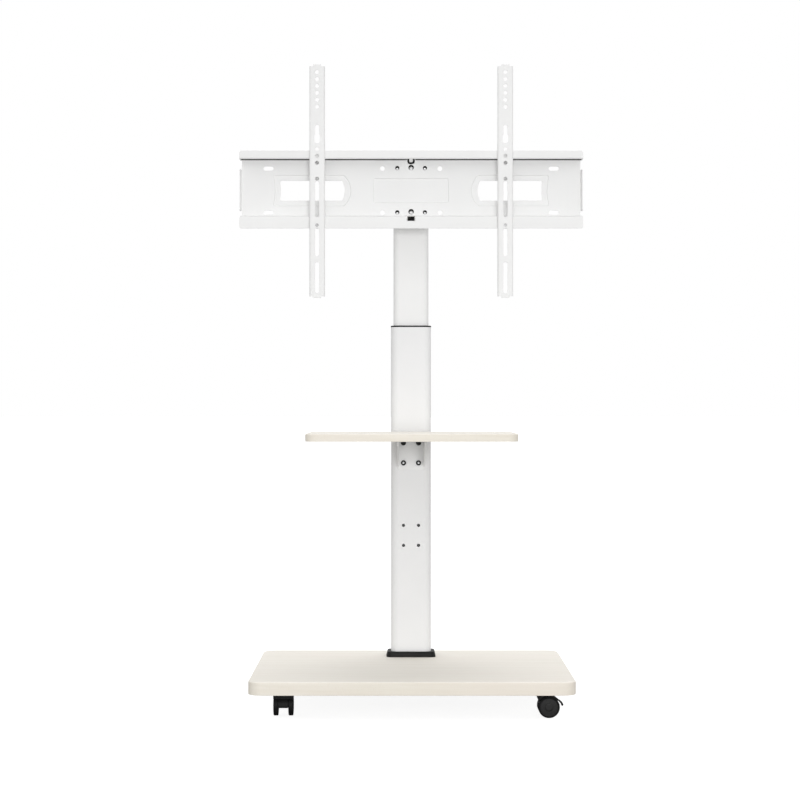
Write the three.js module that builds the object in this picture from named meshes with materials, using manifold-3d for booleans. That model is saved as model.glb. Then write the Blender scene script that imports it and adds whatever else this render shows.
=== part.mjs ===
// A wheeled television stand. A wooden base on four twin-wheel castors carries a telescopic
// steel column with a wooden shelf, and the column's head carries a swivelling wall-plate mount
// with two vertical television rails that hook over the plate's upper lip.
// Millimetres, +Z up. The origin is on the floor under the middle of the base, and the front
// of the stand faces -Y.
import * as THREE from 'three';
import { mergeVertices } from 'three/addons/utils/BufferGeometryUtils.js';
import Module from 'manifold-3d';

// Base board, and the height of its underside over the floor
const baseWidth = 600;
const baseDepth = 440;
const baseThickness = 25;
const baseCornerRadius = 25;
const baseUndersideHeight = 50;
const boardEdgeRadius = 3;

// Column: an outer tube on the base, and an inner tube that slides in it
const columnBackInset = 80;
const outerTubeWidth = 80;
const outerTubeDepth = 40;
const outerTubeCornerRadius = 15;
const outerTubeLength = 655;
const innerTubeWidth = 70;
const innerTubeDepth = 30;
const innerTubeCornerRadius = 12;
const innerTubeLength = 521;
const innerTubeOverlap = 169;
const tubeWall = 2;

// Fits between the pieces
const seatGap = 0.3;
const holePlay = 0.3;
const cutOverrun = 1;
const weldDistance = 0.0001;

// Foot of the column: a welded plate, a moulded collar over it and a plate under the board
const footPlateWidth = 94;
const footPlateDepth = 54;
const footPlateThickness = 4;
const footPlateCornerRadius = 8;
const footCollarWidth = 98.5;
const footCollarDepth = 58.5;
const footCollarHeight = 12;
const footCollarTaper = 2.5;
const footCollarCornerRadius = 11;
const backingPlateWidth = 140;
const backingPlateDepth = 100;
const backingPlateThickness = 3;
const backingPlateCornerRadius = 10;
const baseBoltRadius = 4;
const baseBoltHeadRadius = 6.5;
const baseBoltHeadHeight = 5.3;
const baseBoltSpacingX = 56;
const baseBoltSpacingY = 18;

// Guide sleeve at the outer tube's mouth, bush on the inner tube's end and cap on its top
const sleeveLipHeight = 4;
const sleeveLipOverhang = 0.5;
const sleeveLength = 22;
const bushHeight = 20;
const bushWall = 2.4;
const capHeight = 4;
const capEdgeHeight = 3;
const capEdgeWidth = 7;
const capPlugDepth = 12;

// Two clamp screws in weld nuts on the back of the outer tube
const clampScrewRadius = 4;
const clampScrewHeadRadius = 6.5;
const clampScrewHeadHeight = 8;
const clampScrewDropUpper = 34;
const clampScrewSpacing = 22;
const weldNutRadius = 8;
const weldNutHeight = 6.5;

// Shelf and its folded bracket
const shelfWidth = 400;
const shelfDepth = 249.5;
const shelfThickness = 15;
const shelfCornerRadius = 20;
const shelfDropFromTubeTop = 224;
const shelfBackGap = 0.5;
const bracketWidth = 54;
const bracketThickness = 2;
const bracketFlangeHeight = 61;
const bracketArmLength = 170;
const bracketCheekFrontHeight = 10;
const bracketCheekToeHeight = 6;
const bracketScrewSpacingX = 30;
const bracketScrewSpacingZ = 40;
const bracketScrewRadius = 3;
const bracketScrewHeadRadius = 5.2;
const bracketScrewHeadHeight = 3.3;
const bracketScrewTip = 4;
const spareHoleDrop = 165;

// Column head and the swivel bracket that turns on it, joined by one upright pin
const mountDropFromTubeTop = 84;
const pivotForwardOfTube = 22;
const earThickness = 3;
const earNoseRadius = 13;
const swivelBracketHeight = 100;
const swivelBracketWidth = 76;
const headBracketWidth = 60;
const swivelWebToPivot = 16.5;
const swivelStraight = 5;
const earGap = 0.5;
const bracketBendRadius = 1;
const pinRadius = 4;
const pinCollarRadius = 6;
const pinCollarHeight = 2;
const pinEyeRadius = 5.6;
const pinEyeWire = 1.9;
const pinEyeRise = 12.7;
const pinTail = 2;
const pivotNutRadius = 7.5;
const pivotNutHeight = 8.8;

// Wall plate: one sheet folded forward and outward along its top and bottom
const plateWidth = 676;
const plateThickness = 2;
const plateBendRadius = 1.5;
const ledgeDepth = 22;
const upperLedgeRise = 61;
const lowerLedgeDrop = 51;
const upperLipHeight = 15.3;
const lowerLipHeight = 25.8;
const endFlangeHeight = 81;
const endFlangeReach = 18;
const endReliefWidth = 3.5;
const pivotNotchWidth = 16;
const pivotNotchTopHeight = 8;
const pivotNotchLipDepth = 11;
const pressDepth = 1.8;

// Windows, pressed panels and slots in the wall plate
const windowInnerX = 131.5;
const windowEndInset = 78.5;
const windowHeight = 39;
const windowBulge = 5;
const windowWaist = 1.5;
const windowMarginInner = 12.5;
const windowMarginOuter = 14;
const windowMarginHeight = 11;
const windowMarginBulge = 14;
const windowMarginWaist = 4.5;
const centrePanelWidth = 148;
const centrePanelHeight = 48;
const centrePanelCornerRadius = 4;
const plateSlotEndInset = 56;
const plateSlotLength = 20;
const plateSlotWidth = 8;
const plateHoleX = 57;
const plateHoleRise = 43.5;
const plateHoleRadius = 4.8;
const plateCreaseEndInset = 26;
const plateCreaseWidth = 3;
const plateCreaseDepth = 0.8;
const plateBoltRadius = 2.5;
const plateBoltHeadRadius = 3.2;
const plateBoltHeadHeight = 1.6;
const plateBoltSpacingX = 27.3;
const plateBoltRise = 43.7;
const plateBoltTip = 2;
const dimpleDepth = 2.5;
const dimpleRadius = 4.2;
const middleDimpleRadius = 5.4;
const dimpleWall = 1.5;
const dimplePlay = 0.2;

// Television rails: folded channels with a hook on each side and a clamping screw
const railWidth = 32;
const railLength = 456;
const railTopOverMount = 243.5;
const railCentreX = 184.5;
const railThickness = 2;
const railBendRadius = 1;
const railFlangeDepth = 12.2;
const railLipGap = 0.8;
const railTongueWidth = 16;
const railTongueLength = 3.5;
const railTongueRadius = 3;
const hookRise = 18;
const hookNoseDrop = 10;
const hookNoseDepth = 6;
const hookRoot = 5;
const railHoleRadius = 3.8;
const railHolePitch = 13.6;
const railHoleCount = 6;
const railFirstHoleDrop = 14.9;
const railSlotWidth = 8;
const keyholeSlotTop = 125;
const keyholeRise = 98.5;
const keyholeLength = 19;
const keyholeWidth = 11;
const railUpperHoleRise = 77.6;
const railUpperHolePitch = 13.5;
const railUpperHoleCount = 3;
const railLowerHoleRise = 19.3;
const upperSlotDrop = 20.5;
const upperSlotLength = 70.5;
const middleSlotDrop = 104.5;
const middleSlotLength = 55;
const lowerSlotDrop = 174.2;
const lowerSlotLength = 60.5;
const lockScrewDrop = 71.3;
const lockScrewRadius = 3;
const lockScrewSocketRadius = 1.6;
const lockScrewSocketDepth = 3;
const lockBossRadius = 5;
const lockBossDepth = 7;

// Castors: a fixed plate, a moulded hood that turns under it, and two wheels on one axle
const casterSideInset = 61;
const casterEndInset = 73;
const casterPlateWidth = 40;
const casterPlateThickness = 2;
const casterPlateCornerRadius = 4;
const kingPinRadius = 3.5;
const kingPinLength = 10;
const wheelRadius = 20;
const wheelTrail = 14.5;
const wheelWidth = 8.8;
const wheelShoulder = 1;
const wheelHubRadius = 7;
const wheelRimWidth = 5.5;
const wheelFaceRecess = 0.8;
const wheelFaceWall = 1.6;
const wheelSideGap = 0.4;
const axleRadius = 3;
const hoodWidth = 19;
const hoodOuterRadius = 20.6;
const hoodPedalRadius = 18.6;
const hoodCavityRadius = 16.4;
const hoodTopHeight = 42;
const hoodFrontReach = 5.6;
const hoodFrontLipHeight = 33.5;
const hoodTopBackReach = 17.5;
const hoodWebThickness = 3;
const hoodHubRadius = 6;
const hoodTailDegrees = -15;
const hoodPedalStartDegrees = 15;
const hoodPedalEndDegrees = 82;
const hoodFrontTopDegrees = 165;
const hoodFrontBottomDegrees = 188;
const neckRadius = 12;
const neckSink = 0.3;
const fenderWidth = 37.4;
const fenderBackReach = 21;
const fenderGap = 0.7;

// Brake pedal on the two front castors
const pedalPivotReach = 20.3;
const pedalPivotHeight = 41.3;
const pedalBarrelRadius = 2;
const pedalPinRadius = 1.2;
const pedalCheekRadius = 3.2;
const pedalCheekThickness = 2.2;
const pedalArmWidth = 14;
const pedalArmThickness = 2.2;
const pedalLength = 27;
const pedalPadLength = 9.5;
const pedalPadWidth = 26;
const pedalPadCornerRadius = 3;
const pedalTipLength = 3.5;
const pedalSlopeDegrees = 39;

// Shares of a screw head that its socket takes
const socketRadiusShare = 0.48;
const socketFloorShare = 0.4;

// Steps round a curve
const cornerSteps = 3;
const bendSteps = 3;
const wheelSteps = 20;
const hoodSteps = 3;
const boltSteps = 8;
const holeSteps = 10;
const slotEndSteps = 2;
const ringSteps = 16;
const wireSteps = 6;
const hexSides = 6;

const quarter = Math.PI / 2;
const columnCentreY = baseDepth / 2 - columnBackInset;
const baseTop = baseUndersideHeight + baseThickness;
const outerTubeBottom = baseTop + footPlateThickness;
const outerTubeTop = outerTubeBottom + outerTubeLength;
const innerTubeTop = outerTubeTop - innerTubeOverlap + innerTubeLength;
const mountHeight = innerTubeTop - mountDropFromTubeTop;
const columnFront = -outerTubeDepth / 2;
const pivotY = -innerTubeDepth / 2 - pivotForwardOfTube;

const wasm = await Module();
wasm.setup();

const whitePaint = new THREE.MeshStandardMaterial({ color: 0xf1f1ef, roughness: 0.45, metalness: 0 });
const paleOak = new THREE.MeshStandardMaterial({ color: 0xe8e3d8, roughness: 0.6, metalness: 0 });
const blackPlastic = new THREE.MeshStandardMaterial({ color: 0x262626, roughness: 0.5, metalness: 0 });
const blackSteel = new THREE.MeshStandardMaterial({ color: 0x1c1c1c, roughness: 0.35, metalness: 0.6 });
const zincSteel = new THREE.MeshStandardMaterial({ color: 0xb8bab8, roughness: 0.35, metalness: 0.9 });

// A closed geometry as a solid that can be cut and joined
function asSolid(geometry) {
  let source = geometry;
  if (!geometry.userData.welded) {
    source = geometry.clone();
    source.deleteAttribute('normal');
    source.deleteAttribute('uv');
    source = mergeVertices(source, weldDistance);
  }
  const corners = source.index.array;
  const kept = [];
  for (let i = 0; i < corners.length; i += 3) {
    const triangle = [corners[i], corners[i + 1], corners[i + 2]];
    if (new Set(triangle).size === 3) kept.push(...triangle);
  }
  return new wasm.Manifold(new wasm.Mesh({
    numProp: 3,
    vertProperties: new Float32Array(source.attributes.position.array),
    triVerts: new Uint32Array(kept),
  }));
}

function asGeometry(solid) {
  const mesh = solid.getMesh();
  const geometry = new THREE.BufferGeometry();
  geometry.setAttribute('position', new THREE.BufferAttribute(mesh.vertProperties, 3));
  geometry.setIndex(new THREE.BufferAttribute(mesh.triVerts, 1));
  geometry.userData.welded = true;
  return geometry;
}

function combine(operation, first, others) {
  let result = asSolid(first);
  for (const other of others) result = result[operation](asSolid(other));
  return asGeometry(result);
}

const join = (first, ...others) => combine('add', first, others);
const cut = (first, ...tools) => combine('subtract', first, tools);
const common = (first, ...others) => combine('intersect', first, others);

// A box given by its lowest and highest corners
function box(low, high) {
  const size = [0, 1, 2].map((i) => high[i] - low[i]);
  const middle = [0, 1, 2].map((i) => (high[i] + low[i]) / 2);
  return new THREE.BoxGeometry(...size).translate(...middle);
}

function roundedRectangle(width, depth, radius) {
  const shape = new THREE.Shape();
  const x = width / 2 - radius;
  const y = depth / 2 - radius;
  shape.absarc(x, y, radius, 0, quarter);
  shape.absarc(-x, y, radius, quarter, 2 * quarter);
  shape.absarc(-x, -y, radius, 2 * quarter, 3 * quarter);
  shape.absarc(x, -y, radius, 3 * quarter, 4 * quarter);
  return shape;
}

function polygon(points) {
  return new THREE.Shape(points.map(([x, y]) => new THREE.Vector2(x, y)));
}

// A shape drawn in X and Y, raised from zero to a height
function prism(shape, height, steps = cornerSteps) {
  return new THREE.ExtrudeGeometry(shape, { depth: height, bevelEnabled: false, curveSegments: steps });
}

// A shape drawn in X and Z, which runs forward from backY by a thickness
function facing(shape, thickness, backY, steps = slotEndSteps) {
  return prism(shape, thickness, steps).rotateX(quarter).translate(0, backY, 0);
}

// A shape drawn in Y and Z, centred along X
function across(shape, length, steps = bendSteps) {
  return prism(shape, length, steps).rotateX(quarter).rotateZ(quarter).translate(-length / 2, 0, 0);
}

// A shape with a sloped rim at both ends, for a pressed panel
function pressed(shape, depth, slope, steps = cornerSteps) {
  return new THREE.ExtrudeGeometry(shape, {
    depth,
    bevelEnabled: true,
    bevelThickness: slope,
    bevelSize: slope,
    bevelOffset: -slope,
    bevelSegments: 1,
    curveSegments: steps,
  });
}

// A profile of [radius, height] points from axis to axis, turned about Z
function turned(profile, steps) {
  const points = profile.map(([radius, height]) => new THREE.Vector2(radius, height));
  return new THREE.LatheGeometry(points, steps).rotateX(quarter);
}

// A round bar from zero to a height along Z
function bar(radius, height, steps = holeSteps) {
  return turned([[0, 0], [radius, 0], [radius, height], [0, height]], steps);
}

// A round hole or bar along Y, from frontY to backY
function barAlongY(radius, frontY, backY, x, z, steps = holeSteps) {
  return bar(radius, backY - frontY, steps).rotateX(-quarter).translate(x, frontY, z);
}

// The outline of a folded sheet. It follows the middle of the sheet, with an arc at each fold.
function foldedSheet(middle, thickness, bendRadius) {
  const line = middle.map(([x, y]) => new THREE.Vector2(x, y));
  const left = [];
  const right = [];
  const radius = bendRadius + thickness / 2;
  const origin = new THREE.Vector2();
  const addPair = (point, normal, leftReach, rightReach) => {
    left.push(point.clone().addScaledVector(normal, leftReach));
    right.push(point.clone().addScaledVector(normal, rightReach));
  };
  for (let i = 0; i < line.length; i += 1) {
    const before = i > 0 ? line[i].clone().sub(line[i - 1]).normalize() : null;
    const after = i < line.length - 1 ? line[i + 1].clone().sub(line[i]).normalize() : null;
    if (!before || !after) {
      const along = before ?? after;
      addPair(line[i], new THREE.Vector2(-along.y, along.x), thickness / 2, -thickness / 2);
      continue;
    }
    const turn = Math.sign(before.cross(after));
    const angle = Math.acos(THREE.MathUtils.clamp(before.dot(after), -1, 1));
    const start = line[i].clone().addScaledVector(before, -radius * Math.tan(angle / 2));
    const toCentre = new THREE.Vector2(-before.y, before.x).multiplyScalar(turn);
    const centre = start.clone().addScaledVector(toCentre, radius);
    for (let step = 0; step <= bendSteps; step += 1) {
      const spoke = toCentre.clone().negate().rotateAround(origin, turn * angle * step / bendSteps);
      addPair(centre, spoke, radius - turn * thickness / 2, radius + turn * thickness / 2);
    }
  }
  return new THREE.Shape([...left, ...right.reverse()]);
}

// A screw along Z: its head stands up from zero and its shank hangs below
function screw(shankRadius, shankLength, headRadius, headHeight) {
  const socketRadius = headRadius * socketRadiusShare;
  const socketFloor = headHeight * socketFloorShare;
  return turned([
    [0, -shankLength],
    [shankRadius, -shankLength],
    [shankRadius, 0],
    [headRadius, 0],
    [headRadius, headHeight],
    [socketRadius, headHeight],
    [socketRadius, socketFloor],
    [0, socketFloor],
  ], boltSteps);
}

function piece(name, geometry, material, parent, x = 0, y = 0, z = 0) {
  const mesh = new THREE.Mesh(geometry, material);
  mesh.name = name;
  mesh.position.set(x, y, z);
  parent.add(mesh);
  return mesh;
}

const stand = new THREE.Group();
const column = new THREE.Group();
column.position.set(0, columnCentreY, 0);
stand.add(column);
const mount = new THREE.Group();
mount.position.set(0, pivotY, mountHeight);
column.add(mount);

// Wooden boards with rounded corners and softened edges
function board(width, depth, thickness, cornerRadius) {
  return new THREE.ExtrudeGeometry(roundedRectangle(width, depth, cornerRadius), {
    depth: thickness - 2 * boardEdgeRadius,
    bevelEnabled: true,
    bevelThickness: boardEdgeRadius,
    bevelSize: boardEdgeRadius,
    bevelOffset: -boardEdgeRadius,
    bevelSegments: 2,
    curveSegments: cornerSteps,
  }).translate(0, 0, boardEdgeRadius);
}

const baseBoltPlaces = [];
for (const sideX of [-1, 1]) {
  for (const sideY of [-1, 1]) {
    baseBoltPlaces.push([sideX * baseBoltSpacingX / 2, sideY * baseBoltSpacingY / 2]);
  }
}

function baseBoltHoles(height, offsetY) {
  return baseBoltPlaces.map(([x, y]) => bar(baseBoltRadius + holePlay, height + 2 * cutOverrun)
    .translate(x, y + offsetY, -cutOverrun));
}

const baseBoard = board(baseWidth, baseDepth, baseThickness, baseCornerRadius);
piece('base_board', cut(baseBoard, ...baseBoltHoles(baseThickness, columnCentreY)), paleOak,
  stand, 0, 0, baseUndersideHeight);

// The backing plate under the board, and the foot plate that is welded to the column
const backingPlate = prism(
  roundedRectangle(backingPlateWidth, backingPlateDepth, backingPlateCornerRadius), backingPlateThickness);
piece('backing_plate', cut(backingPlate, ...baseBoltHoles(backingPlateThickness, 0)), blackSteel,
  column, 0, 0, baseUndersideHeight - backingPlateThickness);

const footPlate = prism(
  roundedRectangle(footPlateWidth, footPlateDepth, footPlateCornerRadius), footPlateThickness);
piece('foot_plate', cut(footPlate, ...baseBoltHoles(footPlateThickness, 0)), whitePaint,
  column, 0, 0, baseTop);

const baseBoltLength = backingPlateThickness + baseThickness + footPlateThickness;
const baseBolt = screw(baseBoltRadius, baseBoltLength, baseBoltHeadRadius, baseBoltHeadHeight);
baseBolt.rotateX(2 * quarter);
baseBoltPlaces.forEach(([x, y], index) => {
  piece(`base_bolt_${index + 1}`, baseBolt, zincSteel, column,
    x, y, baseUndersideHeight - backingPlateThickness);
});

// The moulded collar narrows upward, and a pocket under it takes the foot plate
function footCollar() {
  const skirt = prism(
    roundedRectangle(footCollarWidth, footCollarDepth, footCollarCornerRadius), footCollarHeight);
  const places = skirt.attributes.position;
  const topShareX = 1 - 2 * footCollarTaper / footCollarWidth;
  const topShareY = 1 - 2 * footCollarTaper / footCollarDepth;
  for (let i = 0; i < places.count; i += 1) {
    if (places.getZ(i) > footCollarHeight / 2) {
      places.setX(i, places.getX(i) * topShareX);
      places.setY(i, places.getY(i) * topShareY);
    }
  }
  const tubeHole = prism(
    roundedRectangle(outerTubeWidth + 2 * seatGap, outerTubeDepth + 2 * seatGap,
      outerTubeCornerRadius + seatGap),
    footCollarHeight + 2 * cutOverrun).translate(0, 0, -cutOverrun);
  const pocket = prism(
    roundedRectangle(footPlateWidth + 2 * seatGap, footPlateDepth + 2 * seatGap,
      footPlateCornerRadius + seatGap),
    footPlateThickness + seatGap + cutOverrun).translate(0, 0, -cutOverrun);
  return cut(skirt, tubeHole, pocket);
}

piece('foot_collar', footCollar(), blackPlastic, column, 0, 0, baseTop);

// The tubes are drawn steel with rounded corners
function tube(width, depth, cornerRadius, wall, length) {
  const outline = roundedRectangle(width, depth, cornerRadius);
  outline.holes.push(roundedRectangle(width - 2 * wall, depth - 2 * wall, cornerRadius - wall));
  return prism(outline, length);
}

const shelfUnderside = outerTubeTop - shelfDropFromTubeTop;
const bracketScrewTop = shelfUnderside - bracketThickness - seatGap - bracketScrewHeadRadius;
const bracketScrewPlaces = [];
for (const row of [0, 1]) {
  for (const side of [-1, 1]) {
    bracketScrewPlaces.push([side * bracketScrewSpacingX / 2, bracketScrewTop - row * bracketScrewSpacingZ]);
  }
}
const clampScrewHeights = [0, 1].map((row) => outerTubeTop - clampScrewDropUpper - row * clampScrewSpacing);

function outerTube() {
  const walls = tube(outerTubeWidth, outerTubeDepth, outerTubeCornerRadius, tubeWall, outerTubeLength)
    .translate(0, 0, outerTubeBottom);
  const frontHoles = [];
  for (const drop of [0, spareHoleDrop]) {
    for (const [x, z] of bracketScrewPlaces) {
      frontHoles.push(barAlongY(bracketScrewRadius + holePlay, columnFront - cutOverrun,
        columnFront + tubeWall + cutOverrun, x, z - drop));
    }
  }
  const back = outerTubeDepth / 2;
  const nuts = clampScrewHeights.map((z) => barAlongY(weldNutRadius, back - tubeWall / 2,
    back + weldNutHeight, 0, z, hexSides));
  const clampHoles = clampScrewHeights.map((z) => barAlongY(clampScrewRadius + holePlay,
    back - tubeWall - cutOverrun, back + weldNutHeight + cutOverrun, 0, z));
  return cut(join(walls, ...nuts), ...frontHoles, ...clampHoles);
}

piece('outer_tube', outerTube(), whitePaint, column);

const clampTip = innerTubeDepth / 2 + seatGap;
const clampHeadY = outerTubeDepth / 2 + weldNutHeight;
const clampScrew = screw(clampScrewRadius, clampHeadY - clampTip, clampScrewHeadRadius,
  clampScrewHeadHeight);
clampScrew.rotateX(-quarter);
clampScrewHeights.forEach((z, index) => {
  piece(`clamp_screw_${index + 1}`, clampScrew, blackSteel, column, 0, clampHeadY, z);
});

// The guide sleeve fills the gap between the tubes, and its lip shows as a black ring
function guideSleeve() {
  const boreWidth = innerTubeWidth + 2 * holePlay;
  const boreDepth = innerTubeDepth + 2 * holePlay;
  const boreRadius = innerTubeCornerRadius + holePlay;
  const lip = prism(roundedRectangle(outerTubeWidth + 2 * sleeveLipOverhang,
    outerTubeDepth + 2 * sleeveLipOverhang, outerTubeCornerRadius + sleeveLipOverhang), sleeveLipHeight);
  const inset = tubeWall + holePlay;
  const sleeve = prism(roundedRectangle(outerTubeWidth - 2 * inset, outerTubeDepth - 2 * inset,
    outerTubeCornerRadius - inset), sleeveLength + sleeveLipHeight / 2).translate(0, 0, -sleeveLength);
  const bore = prism(roundedRectangle(boreWidth, boreDepth, boreRadius),
    sleeveLength + sleeveLipHeight + 2 * cutOverrun).translate(0, 0, -sleeveLength - cutOverrun);
  return cut(join(lip, sleeve), bore);
}

piece('guide_sleeve', guideSleeve(), blackPlastic, column, 0, 0, outerTubeTop);

piece('inner_tube', tube(innerTubeWidth, innerTubeDepth, innerTubeCornerRadius, tubeWall, innerTubeLength),
  whitePaint, column, 0, 0, innerTubeTop - innerTubeLength);

// The slide bush wraps the inner tube's lower end, with a floor under it
function slideBush() {
  const grip = innerTubeWidth + 2 * bushWall;
  const gripDepth = innerTubeDepth + 2 * bushWall;
  const floor = bushWall;
  const body = prism(roundedRectangle(grip, gripDepth, innerTubeCornerRadius + bushWall),
    bushHeight + floor).translate(0, 0, -floor);
  const seat = prism(roundedRectangle(innerTubeWidth + seatGap, innerTubeDepth + seatGap,
    innerTubeCornerRadius + seatGap / 2), bushHeight + cutOverrun);
  return cut(body, seat);
}

piece('slide_bush', slideBush(), blackPlastic, column, 0, 0, innerTubeTop - innerTubeLength - seatGap);

function topCap() {
  const crown = new THREE.ExtrudeGeometry(
    roundedRectangle(innerTubeWidth, innerTubeDepth, innerTubeCornerRadius), {
      depth: capHeight - capEdgeHeight,
      bevelEnabled: true,
      bevelThickness: capEdgeHeight,
      bevelSize: capEdgeWidth,
      bevelOffset: -capEdgeWidth,
      bevelSegments: bendSteps,
      curveSegments: cornerSteps,
    });
  const below = box([-innerTubeWidth, -innerTubeDepth, -2 * capEdgeHeight],
    [innerTubeWidth, innerTubeDepth, 0]);
  const inset = tubeWall + seatGap;
  const plug = prism(roundedRectangle(innerTubeWidth - 2 * inset, innerTubeDepth - 2 * inset,
    innerTubeCornerRadius - inset), capPlugDepth + capHeight - capEdgeHeight).translate(0, 0, -capPlugDepth);
  return join(cut(crown, below), plug);
}

piece('top_cap', topCap(), whitePaint, column, 0, 0, innerTubeTop);

// The shelf bracket: a flange on the column, an arm under the shelf and a sloping cheek at each side
function shelfBracket() {
  const front = columnFront - bracketThickness;
  const armFront = columnFront - bracketArmLength;
  const flange = box([-bracketWidth / 2, front, shelfUnderside - bracketFlangeHeight],
    [bracketWidth / 2, columnFront, shelfUnderside]);
  const arm = box([-bracketWidth / 2, armFront, shelfUnderside - bracketThickness],
    [bracketWidth / 2, columnFront, shelfUnderside]);
  const toe = shelfUnderside - bracketFlangeHeight + bracketCheekToeHeight;
  const cheek = polygon([
    [columnFront, toe],
    [columnFront, shelfUnderside],
    [armFront, shelfUnderside],
    [armFront, shelfUnderside - bracketCheekFrontHeight],
    [front, toe],
  ]);
  const cheekX = bracketWidth / 2 - bracketThickness / 2;
  const holes = bracketScrewPlaces.map(([x, z]) => barAlongY(bracketScrewRadius + holePlay,
    front - cutOverrun, columnFront + cutOverrun, x, z));
  return cut(join(flange, arm,
    across(cheek, bracketThickness).translate(-cheekX, 0, 0),
    across(cheek, bracketThickness).translate(cheekX, 0, 0)), ...holes);
}

piece('shelf_bracket', shelfBracket(), whitePaint, column);

const bracketScrew = screw(bracketScrewRadius, bracketThickness + tubeWall + bracketScrewTip,
  bracketScrewHeadRadius, bracketScrewHeadHeight);
bracketScrew.rotateX(quarter);
bracketScrewPlaces.forEach(([x, z], index) => {
  piece(`bracket_screw_${index + 1}`, bracketScrew, blackSteel, column,
    x, columnFront - bracketThickness, z);
});

piece('shelf_board', board(shelfWidth, shelfDepth, shelfThickness, shelfCornerRadius), paleOak,
  column, 0, columnFront - shelfBackGap - shelfDepth / 2, shelfUnderside);

// Both pivot brackets are channels. Their ears narrow to a round nose about the pin,
// and side is 1 where the web is behind the pin and -1 where it is in front.
function pivotBracket(width, height, webToPivot, straight, side) {
  const half = height / 2 - earThickness / 2;
  const webMiddle = side * (webToPivot + earThickness / 2);
  const channel = across(foldedSheet([
    [-side * 2 * earNoseRadius, half],
    [webMiddle, half],
    [webMiddle, -half],
    [-side * 2 * earNoseRadius, -half],
  ], earThickness, bracketBendRadius), width);
  const webOuter = webToPivot + earThickness;
  const plan = new THREE.Shape();
  plan.moveTo(-width / 2, webOuter);
  plan.lineTo(-width / 2, webOuter - straight);
  plan.absarc(0, 0, earNoseRadius, 2 * quarter, 4 * quarter);
  plan.lineTo(width / 2, webOuter - straight);
  plan.lineTo(width / 2, webOuter);
  const outline = prism(plan, height).translate(0, 0, -height / 2);
  if (side < 0) outline.rotateZ(2 * quarter);
  const pinHole = bar(pinRadius + holePlay, height + 2 * cutOverrun)
    .translate(0, 0, -height / 2 - cutOverrun);
  return cut(common(channel, outline), pinHole);
}

const headBracketHeight = swivelBracketHeight - 2 * earThickness - 2 * earGap;
const headBracket = pivotBracket(headBracketWidth, headBracketHeight, pivotForwardOfTube - earThickness,
  2 * earThickness, 1);
piece('head_bracket', headBracket, whitePaint, mount);

const plateBoltPlaces = [];
for (const row of [1, -1]) {
  for (const step of [-1, 0, 1]) {
    plateBoltPlaces.push([step * plateBoltSpacingX, row * plateBoltRise]);
  }
}
const swivelWebFront = -(swivelWebToPivot + earThickness);
const plateBack = swivelWebFront - dimpleDepth;
const plateFront = plateBack - plateThickness;

function plateBoltHoles() {
  return plateBoltPlaces.map(([x, z]) => barAlongY(plateBoltRadius + holePlay,
    plateFront - cutOverrun, -swivelWebToPivot + cutOverrun, x, z));
}

const swivelBracket = pivotBracket(swivelBracketWidth, swivelBracketHeight, swivelWebToPivot,
  swivelStraight, -1);
piece('swivel_bracket', cut(swivelBracket, ...plateBoltHoles()), whitePaint, mount);

// The upright pin ends in a ring at the top and in a thread for its nut below
function pivotPin() {
  const top = swivelBracketHeight / 2;
  const tail = top + seatGap + pivotNutHeight + pinTail;
  const shank = bar(pinRadius, tail + top + pinEyeRise - pinEyeRadius).translate(0, 0, -tail);
  const collar = bar(pinCollarRadius, pinCollarHeight).translate(0, 0, top + seatGap);
  const eye = new THREE.TorusGeometry(pinEyeRadius, pinEyeWire, wireSteps, ringSteps)
    .rotateX(quarter).translate(0, 0, top + pinEyeRise);
  return join(shank, collar, eye);
}

piece('pivot_pin', pivotPin(), blackSteel, mount);

const nutBody = bar(pivotNutRadius, pivotNutHeight, hexSides).rotateZ(Math.PI / hexSides);
const nutHole = bar(pinRadius + holePlay, pivotNutHeight + 2 * cutOverrun).translate(0, 0, -cutOverrun);
piece('pivot_nut', cut(nutBody, nutHole), blackSteel, mount,
  0, 0, -swivelBracketHeight / 2 - seatGap - pivotNutHeight);

// A window outline: its inner end bulges towards the middle and its outer end is drawn in
function windowOutline(innerX, outerX, height, bulge, waist) {
  const half = height / 2;
  const bulgeRadius = (half * half + bulge * bulge) / (2 * bulge);
  const waistRadius = (half * half + waist * waist) / (2 * waist);
  const bulgeAngle = Math.asin(half / bulgeRadius);
  const waistAngle = Math.asin(half / waistRadius);
  const outline = new THREE.Shape();
  outline.absarc(innerX + bulgeRadius, 0, bulgeRadius, Math.PI - bulgeAngle, Math.PI + bulgeAngle);
  outline.absarc(outerX - waist + waistRadius, 0, waistRadius, Math.PI + waistAngle,
    Math.PI - waistAngle, true);
  return outline;
}

function slot(width, length) {
  return roundedRectangle(width, length, Math.min(width, length) / 2);
}

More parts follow.
